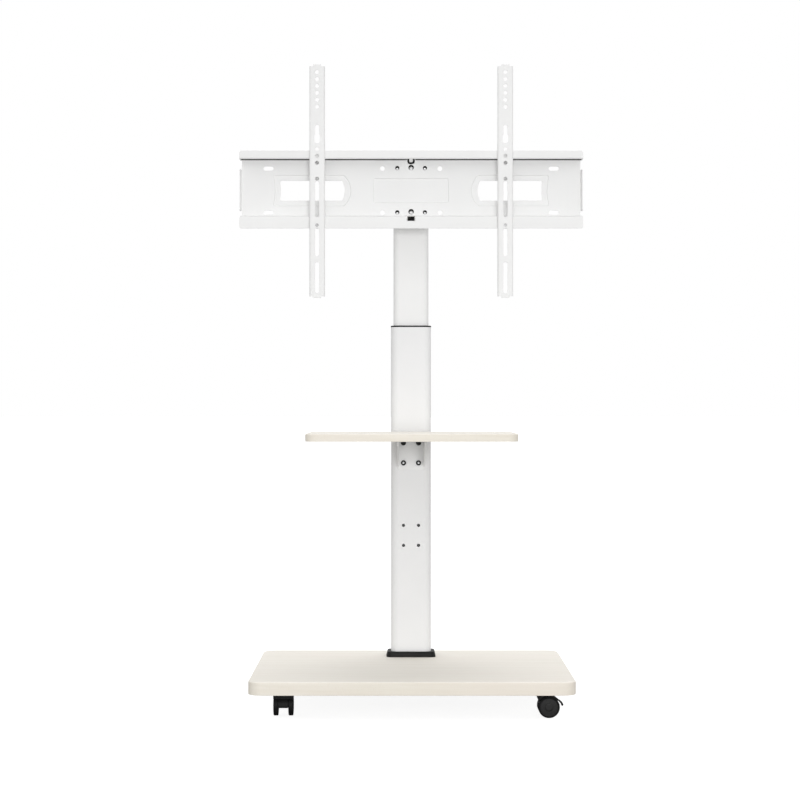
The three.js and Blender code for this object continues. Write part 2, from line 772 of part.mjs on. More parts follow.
function wallPlate() {
  const endX = plateWidth / 2;
  const windowOuterX = endX - windowEndInset;
  const middleY = plateBack - plateThickness / 2;
  const lipY = middleY - ledgeDepth;
  let sheet = across(foldedSheet([
    [lipY, upperLedgeRise + upperLipHeight],
    [lipY, upperLedgeRise],
    [middleY, upperLedgeRise],
    [middleY, -lowerLedgeDrop],
    [lipY, -lowerLedgeDrop],
    [lipY, -lowerLedgeDrop - lowerLipHeight],
  ], plateThickness, plateBendRadius), plateWidth);

  // Each end is relieved at its corners, and folds forward between the reliefs
  for (const side of [-1, 1]) {
    const inner = side * (endX - endReliefWidth);
    const outer = side * (endX + cutOverrun);
    const relief = box(
      [Math.min(inner, outer), plateFront - cutOverrun, -lowerLedgeDrop + plateThickness / 2],
      [Math.max(inner, outer), plateBack + cutOverrun, upperLedgeRise - plateThickness / 2]);
    const flange = prism(foldedSheet([
      [side * (endX - 2 * endReliefWidth), middleY],
      [side * (endX - plateThickness / 2), middleY],
      [side * (endX - plateThickness / 2), middleY - endFlangeReach],
    ], plateThickness, plateBendRadius), endFlangeHeight).translate(0, 0, -endFlangeHeight / 2);
    sheet = join(cut(sheet, relief), flange);
  }

  // Pressed panels: the back swells first, and the front is then pressed in to match
  const pressings = [roundedRectangle(centrePanelWidth, centrePanelHeight, centrePanelCornerRadius)];
  const grown = [roundedRectangle(centrePanelWidth + plateThickness,
    centrePanelHeight + plateThickness, centrePanelCornerRadius)];
  const growth = plateThickness / 2;
  const marginInner = windowInnerX - windowMarginInner;
  const marginOuter = windowOuterX + windowMarginOuter;
  const marginHeight = windowHeight + 2 * windowMarginHeight;
  pressings.push(windowOutline(marginInner, marginOuter, marginHeight, windowMarginBulge, windowMarginWaist));
  grown.push(windowOutline(marginInner - growth, marginOuter + growth, marginHeight + 2 * growth,
    windowMarginBulge, windowMarginWaist));
  const backTools = [];
  const frontTools = [];
  grown.forEach((shape, index) => {
    for (const side of index === 0 ? [1] : [1, -1]) {
      const turn = side < 0 ? 2 * quarter : 0;
      backTools.push(pressed(shape, growth, pressDepth).rotateX(quarter).rotateZ(turn)
        .translate(0, side < 0 ? plateBack - growth : plateBack, 0));
      frontTools.push(pressed(pressings[index], 2 * pressDepth, pressDepth).rotateX(quarter).rotateZ(turn)
        .translate(0, side < 0 ? plateFront - 2 * pressDepth : plateFront, 0));
    }
  });
  sheet = cut(join(sheet, ...backTools), ...frontTools);

  // Windows, slots and holes
  const reach = 4 * pressDepth + plateThickness;
  const toolBack = plateBack + pressDepth + cutOverrun;
  const windowShape = windowOutline(windowInnerX, windowOuterX, windowHeight, windowBulge, windowWaist);
  const tools = [
    facing(windowShape, reach, toolBack),
    facing(windowShape, reach, toolBack).rotateZ(2 * quarter).translate(0, 2 * toolBack - reach, 0),
  ];
  for (const z of [plateHoleRise, -plateHoleRise]) {
    for (const side of [-1, 1]) {
      tools.push(facing(slot(plateSlotLength, plateSlotWidth), reach, toolBack)
        .translate(side * (endX - plateSlotEndInset), 0, z));
      tools.push(barAlongY(plateHoleRadius, toolBack - reach, toolBack, side * plateHoleX, z));
    }
  }

  // Notches in both folds show the ring and the nut of the pin behind the plate
  const notch = pivotNotchWidth / 2;
  tools.push(box([-notch, lipY + plateThickness, upperLedgeRise - pivotNotchTopHeight - plateThickness / 2],
    [notch, plateBack + cutOverrun, upperLedgeRise + plateThickness]));
  tools.push(box([-notch, lipY - plateThickness, -lowerLedgeDrop - pivotNotchLipDepth],
    [notch, plateBack + cutOverrun, -lowerLedgeDrop + plateThickness]));

  // A shallow crease near each end
  const crease = polygon([
    [-plateCreaseWidth / 2, -cutOverrun],
    [plateCreaseWidth / 2, -cutOverrun],
    [plateCreaseWidth / 2, 0],
    [0, plateCreaseDepth],
    [-plateCreaseWidth / 2, 0],
  ]);
  const creaseHeight = upperLedgeRise + lowerLedgeDrop - plateThickness - 2 * plateBendRadius;
  for (const side of [-1, 1]) {
    tools.push(prism(crease, creaseHeight).translate(side * (endX - plateCreaseEndInset), plateFront,
      -lowerLedgeDrop + plateThickness / 2 + plateBendRadius));
  }
  // Round dimples reach back to the swivel bracket, and each bolt's head sits low in its dimple
  const dimples = [];
  for (const [x, z] of plateBoltPlaces) {
    const radius = x === 0 ? middleDimpleRadius : dimpleRadius;
    const middleZ = z + radius - plateBoltHeadRadius - dimplePlay;
    dimples.push(barAlongY(radius + dimpleWall, plateBack - plateThickness / 2, swivelWebFront, x, middleZ));
    tools.push(barAlongY(radius, plateFront - cutOverrun, plateFront + dimpleDepth, x, middleZ));
  }
  return cut(join(sheet, ...dimples), ...tools, ...plateBoltHoles());
}

piece('wall_plate', wallPlate(), whitePaint, mount);

const plateBoltLength = plateThickness + earThickness + plateBoltTip;
const plateBolt = screw(plateBoltRadius, plateBoltLength, plateBoltHeadRadius, plateBoltHeadHeight);
plateBolt.rotateX(quarter);
plateBoltPlaces.forEach(([x, z], index) => {
  piece(`plate_bolt_${index + 1}`, plateBolt, zincSteel, mount, x, plateFront + dimpleDepth, z);
});

// Rail openings, each as the height of its middle over the mount, its length and its width.
// The first two join into a keyhole.
const keyholeSlotLength = keyholeSlotTop - keyholeRise;
const railSlots = [
  [keyholeSlotTop - keyholeSlotLength / 2, keyholeSlotLength, railSlotWidth],
  [keyholeRise, keyholeLength, keyholeWidth],
  [-upperSlotDrop, upperSlotLength, railSlotWidth],
  [-middleSlotDrop, middleSlotLength, railSlotWidth],
  [-lowerSlotDrop, lowerSlotLength, railSlotWidth],
];
const railHoleRises = [railLowerHoleRise];
for (let i = 0; i < railUpperHoleCount; i += 1) {
  railHoleRises.push(railUpperHoleRise - i * railUpperHolePitch);
}
for (let i = 0; i < railHoleCount; i += 1) {
  railHoleRises.push(railTopOverMount - railFirstHoleDrop - i * railHolePitch);
}

const lipFront = plateFront - ledgeDepth;
const railBack = lipFront - railLipGap;
const railFront = railBack - railFlangeDepth;

function tvRail() {
  const flangeX = railWidth / 2 - railThickness / 2;
  const webY = railFront + railThickness / 2;
  const channel = prism(foldedSheet([
    [-flangeX, railBack],
    [-flangeX, webY],
    [flangeX, webY],
    [flangeX, railBack],
  ], railThickness, railBendRadius), railLength - 2 * railTongueLength)
    .translate(0, 0, railTopOverMount - railLength + railTongueLength);
  const tongue = facing(roundedRectangle(railTongueWidth, railLength, railTongueRadius),
    railThickness, railFront + railThickness).translate(0, 0, railTopOverMount - railLength / 2);

  // The hook reaches over the plate's upper lip and drops behind it
  const lipTop = upperLedgeRise + upperLipHeight;
  const slotBack = lipFront + plateThickness + railLipGap;
  const noseBack = slotBack + hookNoseDepth;
  const hook = polygon([
    [railBack - hookRoot, lipTop + seatGap],
    [slotBack, lipTop + seatGap],
    [slotBack, lipTop - hookNoseDrop],
    [noseBack, lipTop - hookNoseDrop],
    [noseBack, lipTop + hookRise / 2],
    [slotBack, lipTop + hookRise],
    [railBack - hookRoot, lipTop + hookRise],
  ]);
  const hooks = [-1, 1].map((side) => across(hook, railThickness).translate(side * flangeX, 0, 0));
  const boss = barAlongY(lockBossRadius, railFront + railThickness / 2,
    railFront + railThickness + lockBossDepth, 0, -lockScrewDrop);

  const toolBack = railFront + railThickness + cutOverrun;
  const reach = railThickness + 2 * cutOverrun;
  const tools = railSlots.map(([z, length, width]) => facing(slot(width, length), reach, toolBack)
    .translate(0, 0, z));
  for (const z of railHoleRises) tools.push(barAlongY(railHoleRadius, toolBack - reach, toolBack, 0, z));
  tools.push(barAlongY(lockScrewRadius + holePlay, railFront - cutOverrun, railBack, 0, -lockScrewDrop));
  return cut(join(channel, tongue, ...hooks, boss), ...tools);
}

const lockScrewLength = railFlangeDepth + railLipGap - seatGap;
const lockScrew = turned([
  [0, -lockScrewLength],
  [lockScrewRadius, -lockScrewLength],
  [lockScrewRadius, 0],
  [lockScrewSocketRadius, 0],
  [lockScrewSocketRadius, -lockScrewSocketDepth],
  [0, -lockScrewSocketDepth],
], boltSteps).rotateX(quarter);
const rail = tvRail();
for (const [side, name] of [[-1, 'left'], [1, 'right']]) {
  piece(`tv_rail_${name}`, rail, whitePaint, mount, side * railCentreX, 0, 0);
  piece(`rail_lock_screw_${name}`, lockScrew, blackSteel, mount,
    side * railCentreX, railFront, -lockScrewDrop);
}

// Castors. Each is drawn trailing towards +X, with its swivel axis on Z and the floor at zero.
const hoodHalf = hoodWidth / 2;
const wheelInner = hoodHalf + wheelSideGap;
const wheelOuter = wheelInner + wheelWidth;
const degree = Math.PI / 180;

function alongY(geometry, height) {
  return geometry.translate(0, 0, -height / 2).rotateX(quarter);
}

function casterPlate() {
  const flat = prism(roundedRectangle(casterPlateWidth, casterPlateWidth, casterPlateCornerRadius),
    casterPlateThickness, slotEndSteps).translate(0, 0, baseUndersideHeight - casterPlateThickness);
  const kingPin = bar(kingPinRadius, kingPinLength + casterPlateThickness / 2)
    .translate(0, 0, baseUndersideHeight - casterPlateThickness - kingPinLength);
  return join(flat, kingPin);
}

// The hood is a shell between the wheels, with a web and a hub in its middle and a fender
// that spreads over both wheels
function casterHood(braked) {
  const tail = hoodTailDegrees * degree;
  const pedalStart = hoodPedalStartDegrees * degree;
  const pedalEnd = hoodPedalEndDegrees * degree;
  const frontTop = hoodFrontTopDegrees * degree;
  const frontBottom = hoodFrontBottomDegrees * degree;
  const outline = new THREE.Shape();
  outline.absarc(wheelTrail, wheelRadius, hoodOuterRadius, tail, pedalStart);
  outline.absarc(wheelTrail, wheelRadius, braked ? hoodPedalRadius : hoodOuterRadius, pedalStart, pedalEnd);
  outline.lineTo(hoodTopBackReach, hoodTopHeight);
  outline.lineTo(-hoodFrontReach, hoodTopHeight);
  outline.lineTo(-hoodFrontReach, hoodFrontLipHeight);
  outline.absarc(wheelTrail, wheelRadius, hoodOuterRadius, frontTop, frontBottom);
  const shell = facing(outline, hoodWidth, hoodHalf, hoodSteps);
  const cavity = facing(new THREE.Shape().absarc(wheelTrail, wheelRadius, hoodCavityRadius, 0, 4 * quarter),
    hoodWidth + 2 * cutOverrun, hoodHalf + cutOverrun, 4 * hoodSteps);
  const webOutline = new THREE.Shape();
  const webRadius = (hoodCavityRadius + hoodPedalRadius) / 2;
  webOutline.absarc(wheelTrail, wheelRadius, webRadius, tail, frontBottom);
  const web = facing(webOutline, hoodWebThickness, hoodWebThickness / 2, 2 * hoodSteps);
  const hub = barAlongY(hoodHubRadius, -hoodHalf, hoodHalf, wheelTrail, wheelRadius);
  const neckTop = baseUndersideHeight - casterPlateThickness - seatGap;
  const neck = bar(neckRadius, neckTop - hoodTopHeight + neckSink, wheelSteps)
    .translate(0, 0, hoodTopHeight - neckSink);
  const pinHole = bar(kingPinRadius + holePlay, kingPinLength + cutOverrun)
    .translate(0, 0, baseUndersideHeight - casterPlateThickness - kingPinLength - seatGap);
  const axleHole = barAlongY(axleRadius + holePlay, -hoodHalf - cutOverrun, hoodHalf + cutOverrun,
    wheelTrail, wheelRadius);
  const fenderBlock = box([-hoodFrontReach, -fenderWidth / 2, hoodFrontLipHeight],
    [fenderBackReach, fenderWidth / 2, hoodTopHeight]);
  const pedalNotch = box([hoodTopBackReach, -hoodHalf, hoodFrontLipHeight - cutOverrun],
    [fenderBackReach + cutOverrun, hoodHalf, hoodTopHeight + cutOverrun]);
  const fender = cut(fenderBlock, pedalNotch, barAlongY(wheelRadius + fenderGap, -fenderWidth,
    fenderWidth, wheelTrail, wheelRadius, 2 * wheelSteps));
  const parts = [fender, web, hub, neck];
  const tools = [pinHole, axleHole];
  if (braked) {
    const cheekInner = hoodHalf - pedalCheekThickness;
    for (const near of [-hoodHalf, cheekInner]) {
      parts.push(barAlongY(pedalCheekRadius, near, near + pedalCheekThickness,
        pedalPivotReach, pedalPivotHeight));
    }
    tools.push(barAlongY(pedalBarrelRadius + holePlay, -cheekInner, cheekInner,
      pedalPivotReach, pedalPivotHeight));
    tools.push(barAlongY(pedalPinRadius + holePlay, -hoodHalf - cutOverrun, hoodHalf + cutOverrun,
      pedalPivotReach, pedalPivotHeight, boltSteps));
  }
  return cut(join(cut(shell, cavity), ...parts), ...tools);
}

function casterWheel() {
  const rimInner = wheelRadius - wheelRimWidth;
  return turned([
    [0, wheelOuter - wheelFaceWall],
    [axleRadius + holePlay, wheelOuter - wheelFaceWall],
    [axleRadius + holePlay, wheelInner],
    [wheelRadius, wheelInner],
    [wheelRadius, wheelOuter - wheelShoulder],
    [wheelRadius - wheelShoulder, wheelOuter],
    [rimInner, wheelOuter],
    [rimInner - wheelFaceRecess, wheelOuter - wheelFaceRecess],
    [wheelHubRadius, wheelOuter - wheelFaceRecess],
    [wheelHubRadius - wheelFaceRecess, wheelOuter],
    [0, wheelOuter],
  ], wheelSteps);
}

// The pedal's arm lies between the wheels, and its pad spreads behind them
function brakePedal() {
  const barrel = barAlongY(pedalBarrelRadius, -pedalArmWidth / 2, pedalArmWidth / 2, 0, 0);
  const pin = barAlongY(pedalPinRadius, -hoodHalf, hoodHalf, 0, 0, boltSteps);
  const half = pedalArmThickness / 2;
  const arm = box([0, -pedalArmWidth / 2, -half], [pedalLength, pedalArmWidth / 2, half]);
  const pad = prism(roundedRectangle(pedalPadLength, pedalPadWidth, pedalPadCornerRadius),
    pedalArmThickness, slotEndSteps).translate(pedalLength - pedalPadLength / 2, 0, -half);
  const tip = box([pedalLength - pedalArmThickness, -pedalArmWidth / 2, -half - pedalTipLength],
    [pedalLength, pedalArmWidth / 2, 0]);
  return join(barrel, pin, arm, pad, tip)
    .rotateY(pedalSlopeDegrees * degree)
    .translate(pedalPivotReach, 0, pedalPivotHeight);
}

const plateGeometry = casterPlate();
const wheelGeometry = casterWheel();
const axleLength = 2 * (wheelOuter - wheelFaceWall - holePlay);
const axleGeometry = alongY(bar(axleRadius, axleLength), axleLength);

function caster(name, x, y, trailDegrees, braked) {
  const group = new THREE.Group();
  group.position.set(x, y, 0);
  group.rotation.z = trailDegrees * degree;
  stand.add(group);
  piece(`${name}_plate`, plateGeometry, zincSteel, group);
  piece(`${name}_hood`, casterHood(braked), blackPlastic, group);
  piece(`${name}_axle`, axleGeometry, zincSteel, group, wheelTrail, 0, wheelRadius);
  const near = piece(`${name}_wheel_1`, wheelGeometry, blackPlastic, group, wheelTrail, 0, wheelRadius);
  near.rotation.x = quarter;
  const far = piece(`${name}_wheel_2`, wheelGeometry, blackPlastic, group, wheelTrail, 0, wheelRadius);
  far.rotation.x = -quarter;
  if (braked) piece(`${name}_pedal`, brakePedal(), blackPlastic, group);
}

const casterX = baseWidth / 2 - casterSideInset;
const casterY = baseDepth / 2 - casterEndInset;
caster('caster_front_left', -casterX, -casterY, 90, true);
caster('caster_front_right', casterX, -casterY, 0, true);
caster('caster_back_left', -casterX, casterY, 90, false);
caster('caster_back_right', casterX, casterY, 90, false);

export default stand;
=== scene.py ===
"""A wheeled television stand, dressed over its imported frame.

The sections follow the stand as it is put together, from the boards up to the rails, then the
castors and the studio. Shapes are in millimetres, in the frame's own axes: +Z up, front at -Y.
"""
import math

import bpy
import bmesh
from mathutils import Matrix, Vector
from mathutils.geometry import delaunay_2d_cdt


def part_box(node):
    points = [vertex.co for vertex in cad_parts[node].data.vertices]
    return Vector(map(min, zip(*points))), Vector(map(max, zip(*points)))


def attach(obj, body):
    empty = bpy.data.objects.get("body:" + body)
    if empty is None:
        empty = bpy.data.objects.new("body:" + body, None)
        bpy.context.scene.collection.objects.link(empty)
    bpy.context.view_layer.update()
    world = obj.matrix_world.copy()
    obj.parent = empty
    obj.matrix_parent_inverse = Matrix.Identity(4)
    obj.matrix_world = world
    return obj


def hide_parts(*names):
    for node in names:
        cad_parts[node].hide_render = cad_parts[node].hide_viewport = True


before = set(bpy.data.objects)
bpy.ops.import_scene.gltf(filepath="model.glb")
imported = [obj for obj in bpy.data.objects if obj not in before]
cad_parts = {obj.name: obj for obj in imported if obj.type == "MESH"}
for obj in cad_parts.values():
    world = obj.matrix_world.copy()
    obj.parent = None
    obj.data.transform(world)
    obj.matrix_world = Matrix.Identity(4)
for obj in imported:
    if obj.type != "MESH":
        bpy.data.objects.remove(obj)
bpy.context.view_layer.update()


# The base and shelf boards
# Two panels of particle board wrapped in a pale oak foil. Their top edges are rounded over and
# the cut sides carry a thin band. Bolts and the shelf's bracket hold them to the column.
MM = 0.001
WELD_MM = 0.002
SHARP_DEGREES = 42.0
QUARTER = math.pi / 2


class Value:
    """One output of a material's nodes, which varies over a surface."""

    def __init__(self, nodes, socket):
        self.nodes = nodes
        self.socket = socket

    def combine(self, operation, first, second):
        return self.nodes.node("ShaderNodeMath", {"operation": operation}, {0: first, 1: second})

    def __add__(self, other):
        return self.combine("ADD", self, other)

    def __sub__(self, other):
        return self.combine("SUBTRACT", self, other)

    def __rsub__(self, other):
        return self.combine("SUBTRACT", other, self)

    def __mul__(self, other):
        return self.combine("MULTIPLY", self, other)

    __radd__ = __add__
    __rmul__ = __mul__

    def larger(self, other):
        return self.combine("MAXIMUM", self, other)


class Nodes:
    """A node tree whose shader is fed by expressions on Values."""

    def __init__(self, tree, shader):
        self.tree = tree
        self.shader = tree.nodes[shader]

    def node(self, kind, settings=None, sockets=None, output=0):
        made = self.tree.nodes.new(kind)
        for name, setting in (settings or {}).items():
            setattr(made, name, setting)
        for name, value in (sockets or {}).items():
            self.feed(made.inputs[name], value)
        return Value(self, made.outputs[output])

    def feed(self, socket, value):
        if isinstance(value, Value):
            self.tree.links.new(value.socket, socket)
        else:
            socket.default_value = value

    def show(self, **sockets):
        for name, value in sockets.items():
            self.feed(self.shader.inputs[name.replace("_", " ")], value)


class Finish(Nodes):
    """A material with a pattern that lies in the stand's own space."""

    def __init__(self, name, **uniform):
        self.material = bpy.data.materials.new(name)
        self.material.use_nodes = True
        super().__init__(self.material.node_tree, "Principled BSDF")
        self.place = self.node("ShaderNodeTexCoord", output="Object")
        self.show(**uniform)

    def noise(self, per_metre, stretch=(1, 1, 1), detail=2.0, roughness=0.5):
        placed = self.node("ShaderNodeMapping", sockets={"Vector": self.place, "Scale": stretch})
        return self.node("ShaderNodeTexNoise", sockets={
            "Vector": placed, "Scale": per_metre, "Detail": detail, "Roughness": roughness})

    def ramp(self, value, low, high):
        return self.node("ShaderNodeMapRange", {"clamp": True}, {
            "Value": value, "From Min": low, "From Max": high})

    def tint(self, share, first, second):
        sockets = {0: share, 6: first, 7: second}
        return self.node("ShaderNodeMix", {"data_type": "RGBA"}, sockets, output=2)

    def bump(self, height, millimetres):
        return self.node("ShaderNodeBump", sockets={
            "Height": height, "Strength": 1.0, "Distance": millimetres * MM})


def joined(*shapes):
    """Several shapes, each a list of points and a list of faces, as one."""
    points, faces = [], []
    for shape_points, shape_faces in shapes:
        first = len(points)
        points += shape_points
        faces += [tuple(first + corner for corner in face) for face in shape_faces]
    return points, faces


def moved(shape, x=0.0, y=0.0, z=0.0, turn=None):
    """A shape that is turned by a matrix and then moved."""
    points, faces = shape
    turn = turn or Matrix.Identity(3)
    return [turn @ Vector(point) + Vector((x, y, z)) for point in points], faces


def mesh_of(name, shape):
    """A mesh in metres, with meeting points welded and every face turned outwards."""
    points, faces = shape
    work = bmesh.new()
    corners = [work.verts.new([coordinate * MM for coordinate in point]) for point in points]
    for face in faces:
        work.faces.new([corners[corner] for corner in face])
    bmesh.ops.remove_doubles(work, verts=work.verts, dist=WELD_MM * MM)
    bmesh.ops.dissolve_degenerate(work, edges=work.edges, dist=WELD_MM * MM)
    bmesh.ops.recalc_face_normals(work, faces=work.faces)
    mesh = bpy.data.meshes.new(name)
    work.to_mesh(mesh)
    work.free()
    return mesh


def piece(name, shape, finish, body, replaces=()):
    """A finished piece of the stand that rides on a body and stands for its CAD nodes."""
    mesh = mesh_of(name, shape)
    mesh.materials.append(finish.material)
    mesh.shade_smooth()
    mesh.set_sharp_from_angle(angle=math.radians(SHARP_DEGREES))
    made = bpy.data.objects.new(name, mesh)
    bpy.context.scene.collection.objects.link(made)
    weighted = made.modifiers.new("even_flats", "WEIGHTED_NORMAL")
    weighted.keep_sharp = True
    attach(made, body)
    if replaces:
        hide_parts(*replaces)
    return made


def rounded_rectangle(width, depth, radius, x=0.0, y=0.0, steps=8):
    """The points of a rectangle with round corners, anticlockwise."""
    points = []
    for corner, (side_x, side_y) in enumerate(((1, 1), (-1, 1), (-1, -1), (1, -1))):
        for step in range(steps + 1):
            angle = QUARTER * (corner + step / steps)
            point = (x + side_x * (width / 2 - radius) + radius * math.cos(angle),
                     y + side_y * (depth / 2 - radius) + radius * math.sin(angle))
            if not points or math.dist(point, points[-1]) > WELD_MM:
                points.append(point)
    if math.dist(points[0], points[-1]) < WELD_MM:
        points.pop()
    return points


def circle(radius, x=0.0, y=0.0, steps=32):
    return [(x + radius * math.cos(2 * math.pi * step / steps),
             y + radius * math.sin(2 * math.pi * step / steps)) for step in range(steps)]


def offset(loop, inset):
    """A closed loop drawn in by a distance, or let out where that is negative."""
    drawn = []
    for before, here, after in zip(loop[-1:] + loop[:-1], loop, loop[1:] + loop[:1]):
        into = (Vector(here) - Vector(before)).normalized()
        out = (Vector(after) - Vector(here)).normalized()
        square = Vector((-into.y, into.x))
        middle = (square + Vector((-out.y, out.x))).normalized()
        drawn.append(tuple(Vector(here) + middle * inset / max(0.3, middle.dot(square))))
    return drawn


def split(loop, folds):
    """The loop with a point added wherever it crosses a fold, given as an axis and a place."""
    points = []
    for start, end in zip(loop, loop[1:] + loop[:1]):
        points.append(start)
        shares = set()
        for axis, place in folds:
            run = end[axis] - start[axis]
            if abs(run) > WELD_MM:
                share = (place - start[axis]) / run
                if 0.001 < share < 0.999:
                    shares.add(share)
        for share in sorted(shares):
            points.append(tuple(a + (b - a) * share for a, b in zip(start, end)))
    return points


def inside(point, loops):
    """Whether a point is in an odd number of the loops."""
    x, y = point
    odd = False
    for loop in loops:
        for (ax, ay), (bx, by) in zip(loop, loop[1:] + loop[:1]):
            if (ay > y) != (by > y) and x < ax + (y - ay) * (bx - ax) / (by - ay):
                odd = not odd
    return odd


def triangles(loops, wires):
    """Triangles over the face between closed loops, with each wire kept as a row of edges."""
    points, edges = [], []
    for path, closed in [(loop, True) for loop in loops] + wires:
        first = len(points)
        points += [Vector(point) for point in path]
        edges += [(first + i, first + i + 1) for i in range(len(path) - 1)]
        if closed:
            edges.append((len(points) - 1, first))
    corners, _, faces = delaunay_2d_cdt(points, edges, [], 0, 0.0001)[:3]
    kept = []
    for face in faces:
        triangle = [corners[corner] for corner in face]
        if inside(sum(triangle, Vector((0, 0))) / 3, loops):
            kept.append(triangle)
    return kept


def sheet(outline, holes, rim, place, folds=(), wires=()):
    """A cut sheet. The rim gives (inset, lift) pairs from the front face round to the back, and
    place gives the point in space of a point of the flat sheet and its lift."""
    loops = [split(outline, folds)] + [split(hole, folds) for hole in holes]
    sides = [1] + [-1] * len(holes)
    shapes = []
    for loop, side in zip(loops, sides):
        rings = [[place(u, v, lift) for u, v in offset(loop, side * inset)] for inset, lift in rim]
        shapes.append(loft(rings, capped=False))
    reach = max(abs(coordinate) for point in loops[0] for coordinate in point) + 1
    lines = []
    for axis, at in folds:
        ends = [(at, -reach), (at, reach)] if axis == 0 else [(-reach, at), (reach, at)]
        lines.append((ends, False))
    for inset, lift in (rim[0], rim[-1]):
        flat = [offset(loop, side * inset) for loop, side in zip(loops, sides)]
        points, faces = [], []
        for triangle in triangles(flat, lines + [(wire, True) for wire in wires]):
            faces.append((len(points), len(points) + 1, len(points) + 2))
            points += [place(u, v, lift) for u, v in triangle]
        shapes.append((points, faces))
    return joined(*shapes)


def loft(rings, capped=True, closed=False):
    """A skin through rings of equal counts, with flat ends or closed back to the first ring."""
    count = len(rings[0])
    points = [point for ring in rings for point in ring]
    faces = []
    for first in range(len(rings) if closed else len(rings) - 1):
        near, far = first * count, (first + 1) % len(rings) * count
        for i in range(count):
            j = (i + 1) % count
            faces.append((near + i, near + j, far + j, far + i))
    if capped and not closed:
        faces += [tuple(range(count)), tuple(range(len(points) - count, len(points)))]
    return points, faces


def arc_rim(top, bottom, top_radius, bottom_radius, steps=4):
    """The rim of a sheet whose front and back edges are rounded over."""
    rim = []
    for step in range(steps + 1):
        angle = QUARTER * step / steps
        rim.append((top_radius * (1 - math.sin(angle)), top - top_radius * (1 - math.cos(angle))))
    for step in range(steps + 1):
        angle = QUARTER * (1 - step / steps)
        rim.append((bottom_radius * (1 - math.sin(angle)),
                    bottom + bottom_radius * (1 - math.cos(angle))))
    return rim


def upright(u, v, lift):
    return (u, v, lift)


def level(loop, height):
    return [(x, y, height) for x, y in loop]


def box_mm(node):
    """A node's lowest and highest corners, in millimetres."""
    low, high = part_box(node)
    return low / MM, high / MM


def plan(node, corner_radius, steps=8):
    """The outline of a board or a plate, seen from above."""
    low, high = box_mm(node)
    middle = (low + high) / 2
    return rounded_rectangle(high.x - low.x, high.y - low.y, corner_radius, middle.x, middle.y, steps)


def combined(operation, base, *tools):
    """A shape that other shapes cut or are joined to."""
    scratch = []
    for number, shape in enumerate((base, *tools)):
        made = bpy.data.objects.new(f"blank_{number}", mesh_of(f"blank_{number}", shape))
        bpy.context.scene.collection.objects.link(made)
        scratch.append(made)
    for tool in scratch[1:]:
        step = scratch[0].modifiers.new("step", "BOOLEAN")
        step.operation = operation
        step.solver = "EXACT"
        step.object = tool
    bpy.context.view_layer.update()
    evaluated = scratch[0].evaluated_get(bpy.context.evaluated_depsgraph_get())
    mesh = evaluated.to_mesh()
    points = [vertex.co / MM for vertex in mesh.vertices]
    faces = [tuple(polygon.vertices) for polygon in mesh.polygons]
    evaluated.to_mesh_clear()
    for made in scratch:
        mesh = made.data
        bpy.data.objects.remove(made)
        bpy.data.meshes.remove(mesh)
    return points, faces


def lathe(profile, steps=32):
    """A shape turned about Z from (radius, height) pairs, from one end to the other."""
    return loft([level(circle(radius, steps=steps), height) for radius, height in profile])


oak = Finish("pale_oak_foil", IOR=1.45)
streaks = oak.noise(1.0, stretch=(4, 70, 70), detail=5, roughness=0.62)
figure = oak.noise(1.0, stretch=(1.6, 14, 14), detail=3)
pores = oak.ramp(oak.noise(1.0, stretch=(28, 900, 900), detail=2), 0.56, 0.7)
ticks = oak.ramp(oak.noise(1.0, stretch=(900, 40, 120), detail=2), 0.6, 0.72)
facing_up = oak.node("ShaderNodeSeparateXYZ", sockets={
    0: oak.node("ShaderNodeNewGeometry", output="Normal")}, output="Z")
band = 1 - oak.ramp(facing_up * facing_up, 0.1, 0.45)
ground = oak.tint(oak.ramp(streaks, 0.3, 0.7), (0.765, 0.715, 0.62, 1), (0.86, 0.825, 0.745, 1))
ground = oak.tint(oak.ramp(figure, 0.35, 0.75) * 0.5, ground, (0.77, 0.72, 0.62, 1))
ground = oak.tint(pores * (1 - band) * 0.3, ground, (0.66, 0.6, 0.5, 1))
ground = oak.tint(ticks * band * 0.32, ground, (0.7, 0.63, 0.51, 1))
blush = oak.ramp(oak.noise(1.0, stretch=(3, 12, 12), detail=2), 0.45, 0.7)
ground = oak.tint(blush * 0.3, ground, (0.85, 0.765, 0.7, 1))
# Faces that look up are painted paler and lighter: painted light from above on the tops.
ground = oak.tint((1 - band) * 0.42, ground, (0.81, 0.795, 0.765, 1))
oak.show(Base_Color=ground, Roughness=0.55 + 0.12 * streaks - 0.08 * pores,
         Normal=oak.bump(streaks - pores * 0.6, 0.05))

COLUMN_Y = 140.0
BOLT_HOLE = 4.3
bolt_places = [(x, COLUMN_Y + y) for x in (-28, 28) for y in (-9, 9)]


def board(node, corner_radius, top_edge, bottom_edge, holes=()):
    low, high = box_mm(node)
    rim = arc_rim(high.z, low.z, top_edge, bottom_edge, steps=5)
    shape = sheet(plan(node, corner_radius, steps=16), [], rim, upright)
    if holes:
        bore = lathe([(BOLT_HOLE, low.z - 1), (BOLT_HOLE, high.z + 1)])
        shape = combined("DIFFERENCE", shape, *[moved(bore, x, y) for x, y in holes])
    piece(node + "_foiled", shape, oak, "stand", [node])


board("base_board", 25, 3.2, 0.7, bolt_places)
board("shelf_board", 20, 3, 0.7)


# The column
# Two rectangular steel tubes with large round corners, powder-coated white. The outer one's white
# is painted a shade darker, painted shade against the light bounced onto it from the shelf and
# base. The inner one slides in the outer one, and two screws in nuts welded to its back clamp it
# at the wanted height.
def grained(name, tones, clouds, grain, gloss, relief, detail=2, **uniform):
    """A finish that drifts between two tones, with a fine grain in its gloss and its relief."""
    made = Finish(name, **uniform)
    fine = made.noise(grain, detail=detail)
    drift = made.ramp(made.noise(clouds), 0.3, 0.7)
    made.show(Base_Color=made.tint(drift, *[(*tone, 1) for tone in tones]),
              Roughness=gloss[0] + gloss[1] * fine, Normal=made.bump(fine, relief))
    return made


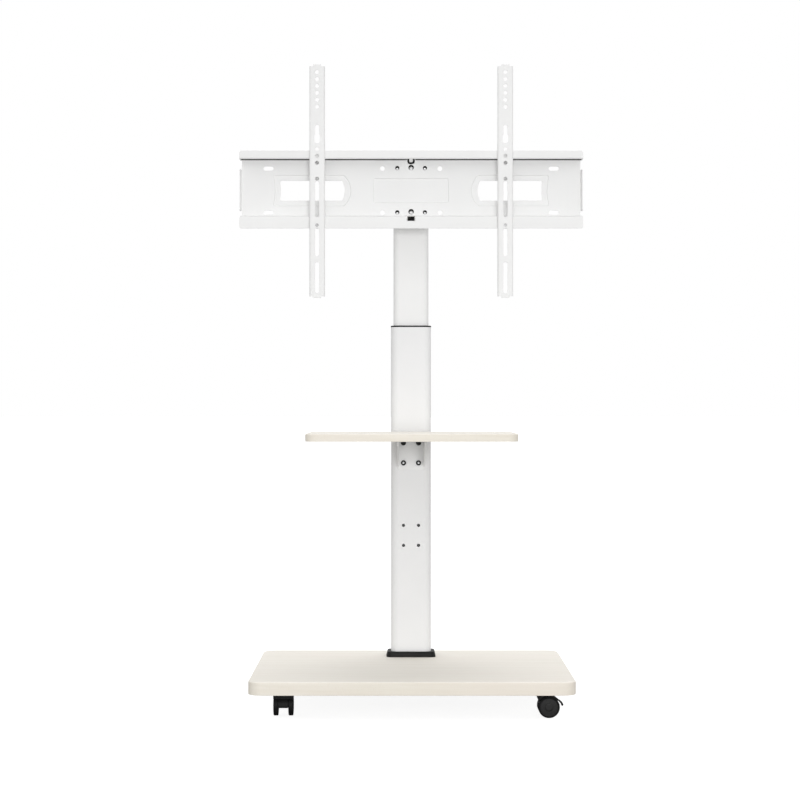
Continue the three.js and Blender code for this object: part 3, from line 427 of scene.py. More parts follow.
def powder_coat(name, tones):
    """A white powder coat with a fine peel."""
    return grained(name, tones, 7, 850, (0.46, 0.12), 0.018, detail=1, IOR=1.5, Specular_IOR_Level=0.2)


powder = powder_coat("white_powder_coat", [(0.84, 0.84, 0.835), (0.87, 0.87, 0.865)])
# The outer tube's darker copy of the coat is painted shade against light bounced from the shelf.
shaded_tube_powder = powder_coat("white_powder_coat_painted_darker_on_tube", [(0.785, 0.787, 0.79), (0.815, 0.817, 0.82)])


def rod_along_y(radius, front, back, x, z, steps=32):
    """A plain rod from front to back, for a hole or a pin."""
    turn = Matrix.Rotation(QUARTER, 3, "X")
    return moved(lathe([(radius, -back), (radius, -front)], steps), x, 0, z, turn)


def tube(node, width, depth, corner_radius, wall=2, edge=0.3):
    """A tube with a soft edge at each end, drawn as rings up the outside and down the inside."""
    low, high = box_mm(node)
    outer = rounded_rectangle(width, depth, corner_radius, 0, COLUMN_Y, steps=12)
    inner = offset(outer, wall)
    return loft([level(offset(outer, edge), low.z), level(outer, low.z + edge),
                 level(outer, high.z - edge), level(offset(outer, edge), high.z),
                 level(offset(inner, -edge), high.z), level(inner, high.z - edge),
                 level(inner, low.z + edge), level(offset(inner, -edge), low.z)], closed=True)


SCREW_HOLE = 3.3
screw_holes = [(side * 15, height) for height in (502.5, 462.5, 337.5, 297.5) for side in (-1, 1)]
clamp_heights = (700, 678)
WELD_NUT_Y = 159.6
hex_nut = lathe([(7.2, 0), (8, 0.8), (8, 5.9), (7.2, 6.7)], steps=6)
back_turn = Matrix.Rotation(-QUARTER, 3, "X")
outer_tube = combined("UNION", tube("outer_tube", 80, 40, 15),
                      *[moved(hex_nut, 0, WELD_NUT_Y, height, back_turn) for height in clamp_heights])
outer_tube = combined("DIFFERENCE", outer_tube,
                      *[rod_along_y(SCREW_HOLE, 115, 125, x, z) for x, z in screw_holes],
                      *[rod_along_y(BOLT_HOLE, 155, 170, 0, z) for z in clamp_heights])
piece("outer_tube_coated", outer_tube, shaded_tube_powder, "stand", ["outer_tube"])
piece("inner_tube_coated", tube("inner_tube", 70, 30, 12), powder, "mast", ["inner_tube"])


# Column fittings
# A black guide sleeve snaps into the outer tube's mouth, a slide bush wraps the inner tube's
# foot, a white cap closes its top, and a tapered black collar hides the foot plate.
moulded = grained("black_moulded_plastic", [(0.009, 0.009, 0.0088), (0.013, 0.013, 0.0125)],
                  30, 1600, (0.42, 0.14), 0.02, IOR=1.46, Specular_IOR_Level=0.12)
white_cap = grained("white_moulded_cap", [(0.82, 0.82, 0.81), (0.85, 0.85, 0.84)],
                    20, 1400, (0.38, 0.1), 0.012, IOR=1.46)


def hoops(width, depth, radius, profile):
    """Level rings of a rounded rectangle round the column, from (inset, height) pairs."""
    outline = rounded_rectangle(width, depth, radius, 0, COLUMN_Y, steps=12)
    return [level(offset(outline, inset), height) for inset, height in profile]


low, high = box_mm("guide_sleeve")
lip_top = high.z - 1.2
sleeve_rings = hoops(81, 41, 15.5, [
    (0.5, high.z - 4), (0, high.z - 3.6), (0, lip_top - 0.9), (0.3, lip_top - 0.25), (1, lip_top)])
sleeve_rings += hoops(70.6, 30.6, 12.3, [
    (-0.8, lip_top), (-0.2, lip_top - 0.2), (0, lip_top - 0.8), (0, low.z)])
sleeve_rings += hoops(75.4, 35.4, 12.7, [(0, low.z), (0, high.z - 4)])
piece("guide_sleeve_moulded", loft(sleeve_rings, closed=True), moulded, "stand",
      ["guide_sleeve"])

low, high = box_mm("slide_bush")
bush_rings = hoops(74.8, 34.8, 14.4, [(0.8, low.z), (0, low.z + 0.8), (0, high.z - 0.6), (0.5, high.z)])
bush_rings += hoops(70.3, 30.3, 12.15, [(-0.3, high.z), (0, high.z - 0.5), (0, low.z + 2.4)])
piece("slide_bush_moulded", loft(bush_rings), moulded, "mast", ["slide_bush"])

low, high = box_mm("top_cap")
CROWN_WIDTH, CROWN_HEIGHT = 7, 3
crown = [(CROWN_WIDTH * (1 - math.cos(math.pi / 16 * step)),
          high.z - CROWN_HEIGHT + CROWN_HEIGHT * math.sin(math.pi / 16 * step)) for step in range(9)]
cap_rings = hoops(65.4, 25.4, 9.7, [(0.6, low.z), (0, low.z + 0.6), (0, high.z - 4)])
cap_rings += hoops(70, 30, 12, [(0.3, high.z - 4), (0, high.z - 3.7)] + crown)
piece("top_cap_moulded", loft(cap_rings), white_cap, "mast", ["top_cap"])

low, high = box_mm("foot_collar")
collar_top = high.z - 1.5
collar_rings = hoops(98.5, 58.5, 11, [
    (0.3, low.z), (0, low.z + 0.6), (2.3, collar_top - 1), (2.6, collar_top - 0.4), (3.3, collar_top)])
collar_rings += hoops(80.6, 40.6, 15.3, [(-0.4, collar_top), (0, collar_top - 0.5), (0, low.z + 4.3)])
collar_rings += hoops(94.6, 54.6, 8.3, [(0, low.z + 4.3), (0, low.z)])
piece("foot_collar_moulded", loft(collar_rings, closed=True), moulded, "stand",
      ["foot_collar"])


# Foot plates and base bolts
# A steel plate welded under the column, a black backing plate under the board, and four bolts
# from below that pull the two together through the board.
black_coat = grained("black_coated_steel", [(0.008, 0.008, 0.0085), (0.014, 0.014, 0.014)],
                     25, 900, (0.32, 0.15), 0.01, IOR=1.5, Specular_IOR_Level=0.15)
zinc = Finish("zinc_plated_steel", Metallic=1.0)
spangle = zinc.ramp(zinc.noise(60, detail=3), 0.3, 0.7)
brushing = zinc.noise(1.0, stretch=(300, 300, 2500), detail=2)
zinc.show(Base_Color=zinc.tint(spangle, (0.55, 0.56, 0.56, 1), (0.63, 0.64, 0.635, 1)),
          Roughness=0.3 + 0.14 * brushing, Normal=zinc.bump(brushing, 0.004))

for node, radius, finish, slot in (("backing_plate", 10, black_coat, "black_steel"),
                                   ("foot_plate", 8, powder, "white_paint")):
    low, high = box_mm(node)
    holes = [circle(BOLT_HOLE, x, y) for x, y in bolt_places]
    piece(node + "_finished",
          sheet(plan(node, radius), holes, arc_rim(high.z, low.z, 0.5, 0.5), upright),
          finish, "stand", [node])


def socket_screw(shank_radius, shank_length, head_radius, head_height, socket=0.5, steps=48):
    """A screw whose seat is at zero and whose head rises along +Z, with a hexagon socket."""
    def ring(radius, height, sided=False):
        points = []
        for step in range(steps):
            angle = 2 * math.pi * step / steps
            reach = radius
            if sided:
                reach /= math.cos((angle + math.pi / 6) % (math.pi / 3) - math.pi / 6)
            points.append((reach * math.cos(angle), reach * math.sin(angle), height))
        return points

    soft = min(0.6, head_height * 0.3)
    socket_radius = head_radius * socket
    return loft([
        ring(shank_radius - 0.5, -shank_length), ring(shank_radius, 0.5 - shank_length),
        ring(shank_radius, 0), ring(head_radius - 0.15, 0), ring(head_radius, 0.15),
        ring(head_radius, head_height - soft), ring(head_radius - 0.3 * soft, head_height - 0.3 * soft),
        ring(head_radius - soft, head_height), ring(socket_radius + 0.25, head_height, True),
        ring(socket_radius, head_height - 0.25, True), ring(socket_radius, head_height * 0.4, True),
        ring(socket_radius * 0.3, head_height * 0.32)])


down_turn = Matrix.Rotation(math.pi, 3, "X")
forward_turn = Matrix.Rotation(QUARTER, 3, "X")
base_bolt = socket_screw(4, 32, 6.5, 5.3)
BASE_BOLT_SEAT = 47
for number, (x, y) in enumerate(bolt_places, start=1):
    piece(f"base_bolt_{number}_plated", moved(base_bolt, x, y, BASE_BOLT_SEAT, down_turn), zinc,
          "stand", [f"base_bolt_{number}"])
clamp_screw = socket_screw(4, 11, 6.5, 8)
CLAMP_SEAT_Y = 166.5
for number, height in enumerate(clamp_heights, start=1):
    piece(f"clamp_screw_{number}_coated", moved(clamp_screw, 0, CLAMP_SEAT_Y, height, back_turn), black_coat,
          "stand", [f"clamp_screw_{number}"])


# The shelf bracket
# One steel blank: its rear flange bolts to the column, its arm lies under the shelf, and a cheek
# that grows toward the column is folded down along each side. Coated white, with four black screws.
def walk(path, distance):
    """Where a distance along a bent sheet comes to: the place across and out, and the heading.
    The path gives a run, a turn and a radius for each bend, and a last run without a turn."""
    across = out = heading = 0.0
    for run, turn, radius in path:
        step = min(distance, run)
        across += math.cos(heading) * step
        out += math.sin(heading) * step
        distance -= step
        if distance <= 0 or not turn:
            break
        side = math.copysign(1, turn)
        bent = min(distance, radius * abs(turn))
        centre = (across - math.sin(heading) * radius * side, out + math.cos(heading) * radius * side)
        heading += side * bent / radius
        across = centre[0] + math.sin(heading) * radius * side
        out = centre[1] - math.cos(heading) * radius * side
        distance -= bent
        if distance <= 0:
            break
    return across, out, heading


def bend_places(path, steps=4):
    """The distances along a bent sheet at which its bends are drawn."""
    places, distance = [], 0.0
    for run, turn, radius in path:
        distance += run
        if turn:
            places += [distance + radius * abs(turn) * step / steps for step in range(steps + 1)]
            distance += radius * abs(turn)
    return places


def folded(distance, lift, path):
    """A distance to one side of the middle, as the place across and out after bending."""
    across, out, heading = walk(path, abs(distance))
    across -= math.sin(heading) * lift
    out += math.cos(heading) * lift - lift
    return math.copysign(across, distance) if across > 0 else across, out


def both_sides(places, axis):
    return [(axis, side * place) for side in (-1, 1) for place in places]


def mirrored(loop):
    return [(-x, y) for x, y in loop][::-1]


BEND_RADIUS = 2
STRAIGHT_ON = (200, 0, 0)
ARM_HALF = 24
ARM_END = 117
FLANGE_FRONT = 118
low, high = box_mm("shelf_bracket")
arm_middle = high.z - 1
cheek_path = [(ARM_HALF, -QUARTER, BEND_RADIUS), STRAIGHT_ON]
flange_path = [(ARM_END - low.y, -QUARTER, BEND_RADIUS), STRAIGHT_ON]
bend_length = BEND_RADIUS * QUARTER
cheek_deep = arm_middle - BEND_RADIUS - (low.z + 6)
cheek_shallow = arm_middle - BEND_RADIUS - (high.z - 10)
flange_end = ARM_END + bend_length + arm_middle - BEND_RADIUS - low.z
side_reach = ARM_HALF + bend_length
half_blank = [(24.5, low.y), (side_reach, low.y), (side_reach + cheek_shallow, low.y + 1.5),
              (side_reach + cheek_deep, 116.5), (side_reach, 116.5), (side_reach, 117.6),
              (27, 118.4), (27, flange_end - 3), (24, flange_end)]


def on_bracket(u, v, lift):
    across, drop_side = folded(u, lift, cheek_path)
    along, drop_back = folded(v - low.y, lift, flange_path)
    return (across, low.y + along, arm_middle + drop_side + drop_back + lift)


def bracket_hole(x, z):
    return circle(SCREW_HOLE, x, flange_end - (z - low.z), steps=24)


thin_rim = arc_rim(1, -1, 0.35, 0.35, steps=2)
bracket_folds = both_sides(bend_places(cheek_path), 0)
bracket_folds += [(1, low.y + place) for place in bend_places(flange_path)]
bracket_screws = screw_holes[:4]
piece("shelf_bracket_folded",
      sheet(mirrored(half_blank) + half_blank, [bracket_hole(x, z) for x, z in bracket_screws], thin_rim,
            on_bracket, bracket_folds),
      powder, "stand", ["shelf_bracket"])
bracket_screw = socket_screw(3, 8, 5.2, 3.3, socket=0.44)
socket_painted_glint = lathe([(0.3, 0.9), (0.3, 2.2), (2.1, 2.6), (2.1, 0.9)], steps=6)
for number, (x, z) in enumerate(bracket_screws, start=1):
    piece(f"bracket_screw_{number}_coated", moved(bracket_screw, x, FLANGE_FRONT, z, forward_turn),
          black_coat, "stand", [f"bracket_screw_{number}"])
    # Bright zinc cups in the lower pair's sockets are a painted glint; the upper pair, in the shelf's shade,
    # gets none: painted shade.
    if number > 2:
        piece(f"bracket_screw_{number}_painted_glint", moved(socket_painted_glint, x, FLANGE_FRONT, z, forward_turn),
              zinc, "stand")


# The swivel brackets and their pin
# Two steel channels, one welded to the column's head and one bolted behind the wall plate. Their
# round-nosed ears share one upright pin with a ring for a head and a nut below.
PIVOT_Y = 103.0
MOUNT_Z = 1002.0
EAR_RADIUS = 13


def arc(radius, start, end, steps, x, y):
    """Points on an arc between two angles in degrees."""
    return [(x + radius * math.cos(math.radians(start + (end - start) * step / steps)),
             y + radius * math.sin(math.radians(start + (end - start) * step / steps)))
            for step in range(steps + 1)]


def swivel_channel(node, width, height, web_to_pivot, straight, direction, body, holes=()):
    half_sheet, bend = 1.5, 2.5
    half = height / 2 - half_sheet
    path = [(half - bend, direction * QUARTER, bend), STRAIGHT_ON]
    flat = half - bend + bend * QUARTER - bend
    pivot = flat + web_to_pivot + half_sheet
    shoulder = flat + straight - half_sheet
    side = [(width / 2, shoulder), *arc(EAR_RADIUS, 0, 180, 24, 0, pivot), (-width / 2, shoulder)]
    outline = side + [(-x, -y) for x, y in side]
    holes = [circle(BOLT_HOLE, 0, pivot, steps=24), circle(BOLT_HOLE, 0, -pivot, steps=24), *holes]
    web_y = PIVOT_Y + direction * (web_to_pivot + half_sheet)

    def on_channel(u, v, lift):
        up, out = folded(v, lift, path)
        return (u, web_y - out - lift, MOUNT_Z + up)

    rim = arc_rim(half_sheet, -half_sheet, 0.4, 0.4, steps=2)
    piece(node + "_folded", sheet(outline, holes, rim, on_channel, both_sides(bend_places(path), 1)),
          powder, body, [node])


PLATE_BOLT_HOLE = 2.8
plate_bolts = [(x, z) for z in (43.7, -43.7) for x in (-27.3, 0, 27.3)]
swivel_channel("head_bracket", 60, 93, 19, 6, 1, "mast")
swivel_channel("swivel_bracket", 76, 100, 16.5, 5, -1, "mount",
               [circle(PLATE_BOLT_HOLE, x, z, steps=24) for x, z in plate_bolts])

ring_steps, wire_steps = 64, 20
EYE_RADIUS, EYE_WIRE = 5.6, 1.9
EYE_RISE, NUT_DROP = 62.7, 59.1


def squarish(angle):
    """A point of a circle of radius 1 whose four shoulders are let out toward a square."""
    return [math.copysign(abs(part) ** 0.72, part) for part in (math.cos(angle), math.sin(angle))]


eye = []
wire = circle(EYE_WIRE, EYE_RADIUS, 0, wire_steps)
for step in range(ring_steps):
    eye_x, eye_z = squarish(2 * math.pi * step / ring_steps)
    eye.append([(reach * eye_x, lift, reach * eye_z) for reach, lift in wire])
eye = loft(eye, closed=True)
shank = lathe([(3.2, -61.1), (4, -60.3), (4, 50.3), (5.7, 50.3), (6, 50.6), (6, 52), (5.6, 52.3),
               (3, 52.5), (1.9, 53.6), (1.6, 57.6)])
pin = combined("UNION", shank, moved(eye, z=EYE_RISE))
piece("pivot_pin_coated", moved(pin, 0, PIVOT_Y, MOUNT_Z), black_coat, "mount",
      ["pivot_pin"])
nut = lathe([(6.6, 0), (7.5, 0.9), (7.5, 8.7), (7.1, 9.1)], steps=6)
nut = combined("DIFFERENCE", nut, lathe([(4.1, -1), (4.1, 10)]))
nut = moved(nut, 0, PIVOT_Y, MOUNT_Z - NUT_DROP, Matrix.Rotation(math.radians(30), 3, "Z"))
piece("pivot_nut_coated", nut, black_coat, "mount", ["pivot_nut"])


# The wall plate
# One steel sheet, folded forward and then up and down along its long edges, with an end flange
# at each side. Two framed windows, a middle panel and round bolt dimples are pressed back into it.
dull_steel = Finish("dull_zinc_steel", Metallic=1.0)
dull_grain = dull_steel.noise(120, detail=3)
dull_tone = dull_steel.ramp(dull_grain, 0.3, 0.7)
dull_steel.show(Base_Color=dull_steel.tint(dull_tone, (0.36, 0.36, 0.365, 1), (0.43, 0.43, 0.43, 1)),
                Roughness=0.34 + 0.14 * dull_grain, Normal=dull_steel.bump(dull_grain, 0.006))

PLATE_Y = 80.0
TOP_PATH = [(58.5, QUARTER, 2.5), (17, -QUARTER, 2.5), (12.8, 0, 0)]
BOTTOM_PATH = [(51, QUARTER, 2.5), (17, -QUARTER, 2.5), (20.8, 0, 0)]
END_PATH = [(334.5, QUARTER, 2.5), (15.5, 0, 0)]
PRESS_LEAD = 0.5
PRESS_SLOPE = 1.6
PRESS_DEPTH = 2.0


def flat_length(path):
    return sum(run + radius * abs(turn) for run, turn, radius in path)


def arc_through(middle_x, end_x, half, steps=16):
    """An arc from the bottom to the top that passes the middle at one X and ends at another."""
    sag = end_x - middle_x
    radius = (half * half + sag * sag) / (2 * sag)
    angle = math.asin(half / radius)
    return [(middle_x + radius - radius * math.cos(angle * share), radius * math.sin(angle * share))
            for share in [2 * step / steps - 1 for step in range(steps + 1)]]


def softened(loop, radius, steps=6):
    """The loop with an arc in place of each sharp corner."""
    points = []
    for before, here, after in zip(loop[-1:] + loop[:-1], loop, loop[1:] + loop[:1]):
        before, here, after = Vector(before), Vector(here), Vector(after)
        turn = (here - before).angle(after - here)
        if turn < math.radians(30):
            points.append(tuple(here))
            continue
        back = (before - here).normalized()
        on = (after - here).normalized()
        reach = radius * math.tan(turn / 2)
        middle = (back + on).normalized()
        centre = here + middle * radius / math.cos(turn / 2)
        start = here + back * reach - centre
        end = here + on * reach - centre
        for step in range(steps + 1):
            share = step / steps
            spoke = start.normalized() * math.sin((1 - share) * turn)
            spoke += end.normalized() * math.sin(share * turn)
            points.append(tuple(centre + spoke.normalized() * radius))
    return points


def window(inner, outer, height, bulge, waist, corner):
    """A window whose inner end bulges toward the middle and whose outer end is drawn in."""
    half = height / 2
    inner_end = arc_through(inner, inner + bulge, half)[::-1]
    outer_end = arc_through(outer - waist, outer, half)
    return softened(inner_end + outer_end, corner)


def edge_distance(point, loop):
    """How far inside a loop a point lies, or outside where it is negative."""
    nearest = 1e9
    x, y = point
    for (ax, ay), (bx, by) in zip(loop, loop[1:] + loop[:1]):
        run_x, run_y = bx - ax, by - ay
        share = ((x - ax) * run_x + (y - ay) * run_y) / (run_x * run_x + run_y * run_y)
        share = min(1.0, max(0.0, share))
        nearest = min(nearest, math.hypot(x - ax - run_x * share, y - ay - run_y * share))
    return nearest if inside(point, [loop]) else -nearest


def eased(share):
    share = min(1.0, max(0.0, share))
    return share * share * (3 - 2 * share)


window_right = window(131.5, 259.5, 39, 5, 1.5, 3)
frame_right = window(119, 273.5, 61, 14, 4.5, 4)
pressings = [rounded_rectangle(148, 48, 4), frame_right, mirrored(frame_right)]
DIMPLE_DEPTH = 2.5
DIMPLE_SLOPE = 0.7
dimples = [(x, z + 2.0, 5.4) if x == 0 else (x, z + 0.8, 4.2) for x, z in plate_bolts]
PRESSED_X, PRESSED_Z = 290, 53
CREASE_X = 312.0
CREASE_Z = -50.0
CREASE_LOW, CREASE_HIGH = -48.5, 58.5
CREASE_HALF = 1.6
CREASE_DEPTH = 0.8
END_HALF = 42


def press_depth(u, v):
    """How far the sheet is pressed back at a point of the blank."""
    depth = 0.0
    if abs(u) < PRESSED_X and abs(v) < PRESSED_Z:
        for loop in pressings:
            inset = edge_distance((u, v), loop)
            depth = max(depth, PRESS_DEPTH * eased((inset + PRESS_LEAD) / PRESS_SLOPE))
        for x, z, radius in dimples:
            inset = radius - math.hypot(u - x, v - z)
            depth = max(depth, DIMPLE_DEPTH * eased((inset + 0.2) / DIMPLE_SLOPE))
    if CREASE_LOW < v < CREASE_HIGH:
        depth = max(depth, CREASE_DEPTH * eased(1 - abs(abs(u) - CREASE_X) / CREASE_HALF))
    return max(depth, CREASE_DEPTH * eased(1 - abs(v - CREASE_Z)))


def on_plate(u, v, lift):
    across, out_end = folded(u, lift, END_PATH) if abs(v) < END_HALF else (u, 0)
    up, out_edge = folded(v, lift, TOP_PATH if v > 0 else BOTTOM_PATH)
    return (across, PLATE_Y - out_end - out_edge - lift + press_depth(u, v), MOUNT_Z + up)


top_end = flat_length(TOP_PATH)
bottom_end = -flat_length(BOTTOM_PATH)
side_end = flat_length(END_PATH)
right_side = [(335, bottom_end), (338, bottom_end + 3), (338, -49.5), (334.5, -49.5), (334.5, -40.5),
              (side_end - 2, -40.5), (side_end, -38.5), (side_end, 38.5), (side_end - 2, 40.5),
              (334.5, 40.5), (334.5, 59.5), (338, 59.5), (338, top_end - 3), (335, top_end)]
plate_holes = [window_right, mirrored(window_right),
               rounded_rectangle(16, 27.9, 0.8, 0, 65.95, steps=3),
               rounded_rectangle(16, 31.65, 0.8, 0, -66.03, steps=3)]
for side in (-1, 1):
    for z in (43.5, -43.5):
        plate_holes.append(rounded_rectangle(20, 8, 4, side * 282, z, steps=10))
        plate_holes.append(circle(4.8, side * 57, z, steps=24))
plate_holes += [circle(PLATE_BOLT_HOLE, x, z, steps=20) for x, z in plate_bolts]
relief_lines = []
for loop in pressings:
    relief_lines += [offset(loop, PRESS_SLOPE * step / 5 - PRESS_LEAD) for step in range(6)]
for x, z, radius in dimples:
    relief_lines += [circle(radius + 0.2 - DIMPLE_SLOPE * step / 3, x, z, steps=28) for step in range(4)]
plate_folds = [(1, place) for place in bend_places(TOP_PATH, steps=5)]
plate_folds += [(1, -place) for place in bend_places(BOTTOM_PATH, steps=5)]
plate_folds += [(1, CREASE_Z + step * 0.5) for step in (-2, -1, 0, 1, 2)]
plate_folds += both_sides(bend_places(END_PATH), 0)
plate_folds += [(0, side * (CREASE_X + step * 0.8)) for side in (-1, 1) for step in (-2, -1, 0, 1, 2)]
piece("wall_plate_pressed",
      sheet(right_side + mirrored(right_side), plate_holes, thin_rim, on_plate, plate_folds, relief_lines),
      powder, "mount", ["wall_plate"])
# A thin black strip under each half of the upper ledge is painted shade on the ledge's underside.
for side, word in ((-1, "left"), (1, "right")):
    strip = sheet(rounded_rectangle(326.8, 13.4, 1, side * 171.6, 67.1), [],
                  arc_rim(1062, 1061.4, 0.1, 0.3, steps=2), upright)
    piece(f"ledge_shade_strip_{word}", strip, moulded, "mount")
plate_bolt = socket_screw(2.5, 7, 2.9, 1.6, socket=0.46)
BOLT_SEAT = PLATE_Y - 1 + DIMPLE_DEPTH


def on_bolt_seat(u, v, lift):
    return (u, BOLT_SEAT - lift, MOUNT_Z + v)


def crescent(x, z, radius, inner_z, inner_radius, steps=30):
    """The upper part of a disc that is left when a lower disc is cut from it."""
    rise = z - inner_z
    along = (inner_radius ** 2 - radius ** 2 + rise ** 2) / (2 * rise)
    outer_start = math.degrees(math.asin((along - rise) / radius))
    inner_start = math.degrees(math.asin(along / inner_radius))
    outer = arc(radius, outer_start, 180 - outer_start, steps, x, z)
    inner = arc(inner_radius, 180 - inner_start, inner_start, steps, x, inner_z)
    return outer + inner[1:-1]


for number, ((x, z), (_, dimple_z, radius)) in enumerate(zip(plate_bolts, dimples), start=1):
    piece(f"plate_bolt_{number}_plated", moved(plate_bolt, x, BOLT_SEAT, MOUNT_Z + z, forward_turn),
          dull_steel, "mount", [f"plate_bolt_{number}"])
    # The black crescent over each bolt head is painted shade, where the dimple's upper wall shades it.
    inner_z, inner_radius = (z, 3.7) if x == 0 else (z - 1.4, 2.5)
    painted_shade = sheet(crescent(x, dimple_z, radius - 0.1, inner_z, inner_radius), [],
                 [(0.15, 1.8), (0, 1.65), (0, -0.02)], on_bolt_seat)
    piece(f"plate_bolt_{number}_painted_shade", painted_shade, moulded, "mount")


# The television rails
# Two folded steel channels that hang on the plate's upper lip by a hook on each flange. A screw
# through the web locks each one, and round holes and slots take the television's screws.
RAIL_X = 184.5
RAIL_FLAT_HALF, RAIL_BEND = 11.6, 2.5
RAIL_PATH = [(RAIL_FLAT_HALF, -QUARTER, RAIL_BEND), (60, 0, 0)]
RAIL_TOP = 243.5
RAIL_LENGTH = 457.5
RAIL_FRONT = 44
LOCK_RISE = -71.3


def flange_at(y):
    """The distance across the flat rail of a place on its flange."""
    return RAIL_FLAT_HALF + RAIL_BEND * QUARTER + y - (RAIL_FRONT + 1 + RAIL_BEND)


def without_repeats(loop):
    """The loop without the points that the next one repeats."""
    return [point for point, following in zip(loop, loop[1:] + loop[:1])
            if math.dist(point, following) > WELD_MM]


flange_edge, hook_root, hook_tip = flange_at(56.2), flange_at(59.8), flange_at(65.8)
shoulder = RAIL_TOP - 3.5
foot = RAIL_TOP - RAIL_LENGTH
rail_half = [(6.8, foot), (8, foot + 1.2), (8, foot + 3.5), (flange_edge - 1, foot + 3.5),
             (flange_edge, foot + 4.5), (flange_edge, 76.6), (hook_root, 76.6), (hook_root, 66.3),
             (hook_tip, 66.3), (hook_tip, 85.3), (hook_root, 94.3), (flange_edge, 94.3),
             (flange_edge, shoulder - 1), (flange_edge - 1, shoulder), (8, shoulder), (8, RAIL_TOP - 1.2),
             (6.8, RAIL_TOP)]
neck_start = math.degrees(math.acos(-4 / 5.5))
keyhole = arc(4, 0, 180, 12, 0, 121) + arc(5.5, neck_start, 180, 12, 0, 102.5)
keyhole += arc(5.5, 180, 360, 24, 0, 94.5) + arc(5.5, 0, 180 - neck_start, 12, 0, 102.5)
rail_holes = [without_repeats(keyhole)]
for centre, length in ((-20.5, 70.5), (-104.5, 55), (-174.2, 60.5)):
    rail_holes.append(rounded_rectangle(8, length, 4, 0, centre, steps=10))
hole_rises = [77.6, 64.1, 50.6, 19.3] + [RAIL_TOP - 14.9 - 13.6 * number for number in range(6)]
rail_holes += [circle(3.8, 0, rise, steps=28) for rise in hole_rises]
rail_holes.append(circle(SCREW_HOLE, 0, LOCK_RISE, steps=24))
lock_screw = lathe([(2.6, -12.7), (3, -12.2), (3, -0.4), (2.6, 0), (1.85, 0), (1.6, -0.3), (1.6, -3),
                    (0.4, -3.4)])
boss = [level(circle(radius), depth) for radius, depth in (
    (5, -1.5), (5, -8.2), (4.4, -9), (SCREW_HOLE, -9), (SCREW_HOLE, -1.5))]
for side, word in ((-1, "left"), (1, "right")):
    def on_rail(u, v, lift):
        across, out = folded(u, lift, RAIL_PATH)
        return (side * RAIL_X + across, RAIL_FRONT + 1 - out - lift, MOUNT_Z + v)

    body = f"rail_{word}"
    lock_place = (side * RAIL_X, RAIL_FRONT, MOUNT_Z + LOCK_RISE, forward_turn)
    rail = sheet(rail_half + mirrored(rail_half), rail_holes, thin_rim, on_rail,
                 both_sides(bend_places(RAIL_PATH), 0))
    rail = combined("UNION", rail, moved(loft(boss, closed=True), *lock_place))
    piece(f"tv_rail_{word}_folded", rail, powder, body, [f"tv_rail_{word}"])
    piece(f"rail_lock_screw_{word}_coated", moved(lock_screw, *lock_place),
          dull_steel, body, [f"rail_lock_screw_{word}"])


# The castors
# Four twin-wheel castors of black moulded plastic under zinc-plated plates. A hood turns under
# each plate, two wheels share its axle, and the two front ones have a brake pedal behind.
tread = grained("castor_tread", [(0.007, 0.007, 0.007), (0.011, 0.011, 0.0108)],
                40, 900, (0.5, 0.14), 0.03, IOR=1.45, Specular_IOR_Level=0.15)
wheel_core = grained("castor_wheel_core", [(0.013, 0.013, 0.0135), (0.018, 0.018, 0.0175)],
                     30, 1100, (0.38, 0.14), 0.02, IOR=1.46, Specular_IOR_Level=0.2)
AXLE_REACH, AXLE_HEIGHT = 14.5, 20.0
AXLE_HOLE = 3.3
HOOD_RADIUS = 20.6
PEDAL_X, PEDAL_Z = 20.3, 41.3
PEDAL_SLOPE = math.radians(39)
WHEEL_INNER, WHEEL_OUTER = 9.7, 18.2


def upright_sheet(u, v, lift):
    return (u, -lift, v)


def about_axle(radius, start, end, steps):
    return arc(radius, start, end, steps, AXLE_REACH, AXLE_HEIGHT)


def hood(braked):
    """A shell between the wheels, and a fender that spreads over both of them."""
    back_radius = 18.6 if braked else HOOD_RADIUS
    outline = about_axle(HOOD_RADIUS, -15, 15, 6) + about_axle(back_radius, 15, 82, 14)
    outline += [(17.5, 42), (-4.6, 42), (-5.6, 41), (-5.6, 33.5)]
    outline += about_axle(HOOD_RADIUS, 141, 188, 9) + about_axle(16.4, 194.5, -14.5, 40)
    shell = sheet(without_repeats(outline), [], arc_rim(9.5, -9.5, 0.8, 0.8, steps=3), upright_sheet)
    web = sheet(about_axle(17.5, -15, 188, 30), [], arc_rim(1.5, -1.5, 0.2, 0.2, steps=1), upright_sheet)
    hub = rod_along_y(6, -9.5, 9.5, AXLE_REACH, AXLE_HEIGHT)
    neck = lathe([(12, 39.5), (12, 46.8), (11.1, 47.7)], steps=48)
    cover = [(-5.6, 33.5), *about_axle(20.7, 139.3, 71.7, 14), (21, 41), (20, 42), (-4.6, 42), (-5.6, 41)]
    cover = sheet(cover, [], arc_rim(WHEEL_OUTER, -WHEEL_OUTER, 0.8, 0.8, steps=3), upright_sheet)
    arm_room = rounded_rectangle(8, 19, 0.5, 21.5, 0)
    cover = combined("DIFFERENCE", cover, loft([level(arm_room, 32), level(arm_room, 44)]))
    parts = [cover, web, hub, neck]
    tools = [lathe([(3.8, 37.7), (3.8, 50)]), rod_along_y(AXLE_HOLE, -12, 12, AXLE_REACH, AXLE_HEIGHT)]
    if braked:
        parts += [rod_along_y(3.2, near, near + 2.2, PEDAL_X, PEDAL_Z) for near in (-9.5, 7.3)]
        tools += [rod_along_y(2.3, -7.3, 7.3, PEDAL_X, PEDAL_Z),
                  rod_along_y(1.5, -12, 12, PEDAL_X, PEDAL_Z, steps=20)]
    return combined("DIFFERENCE", combined("UNION", shell, *parts), *tools)


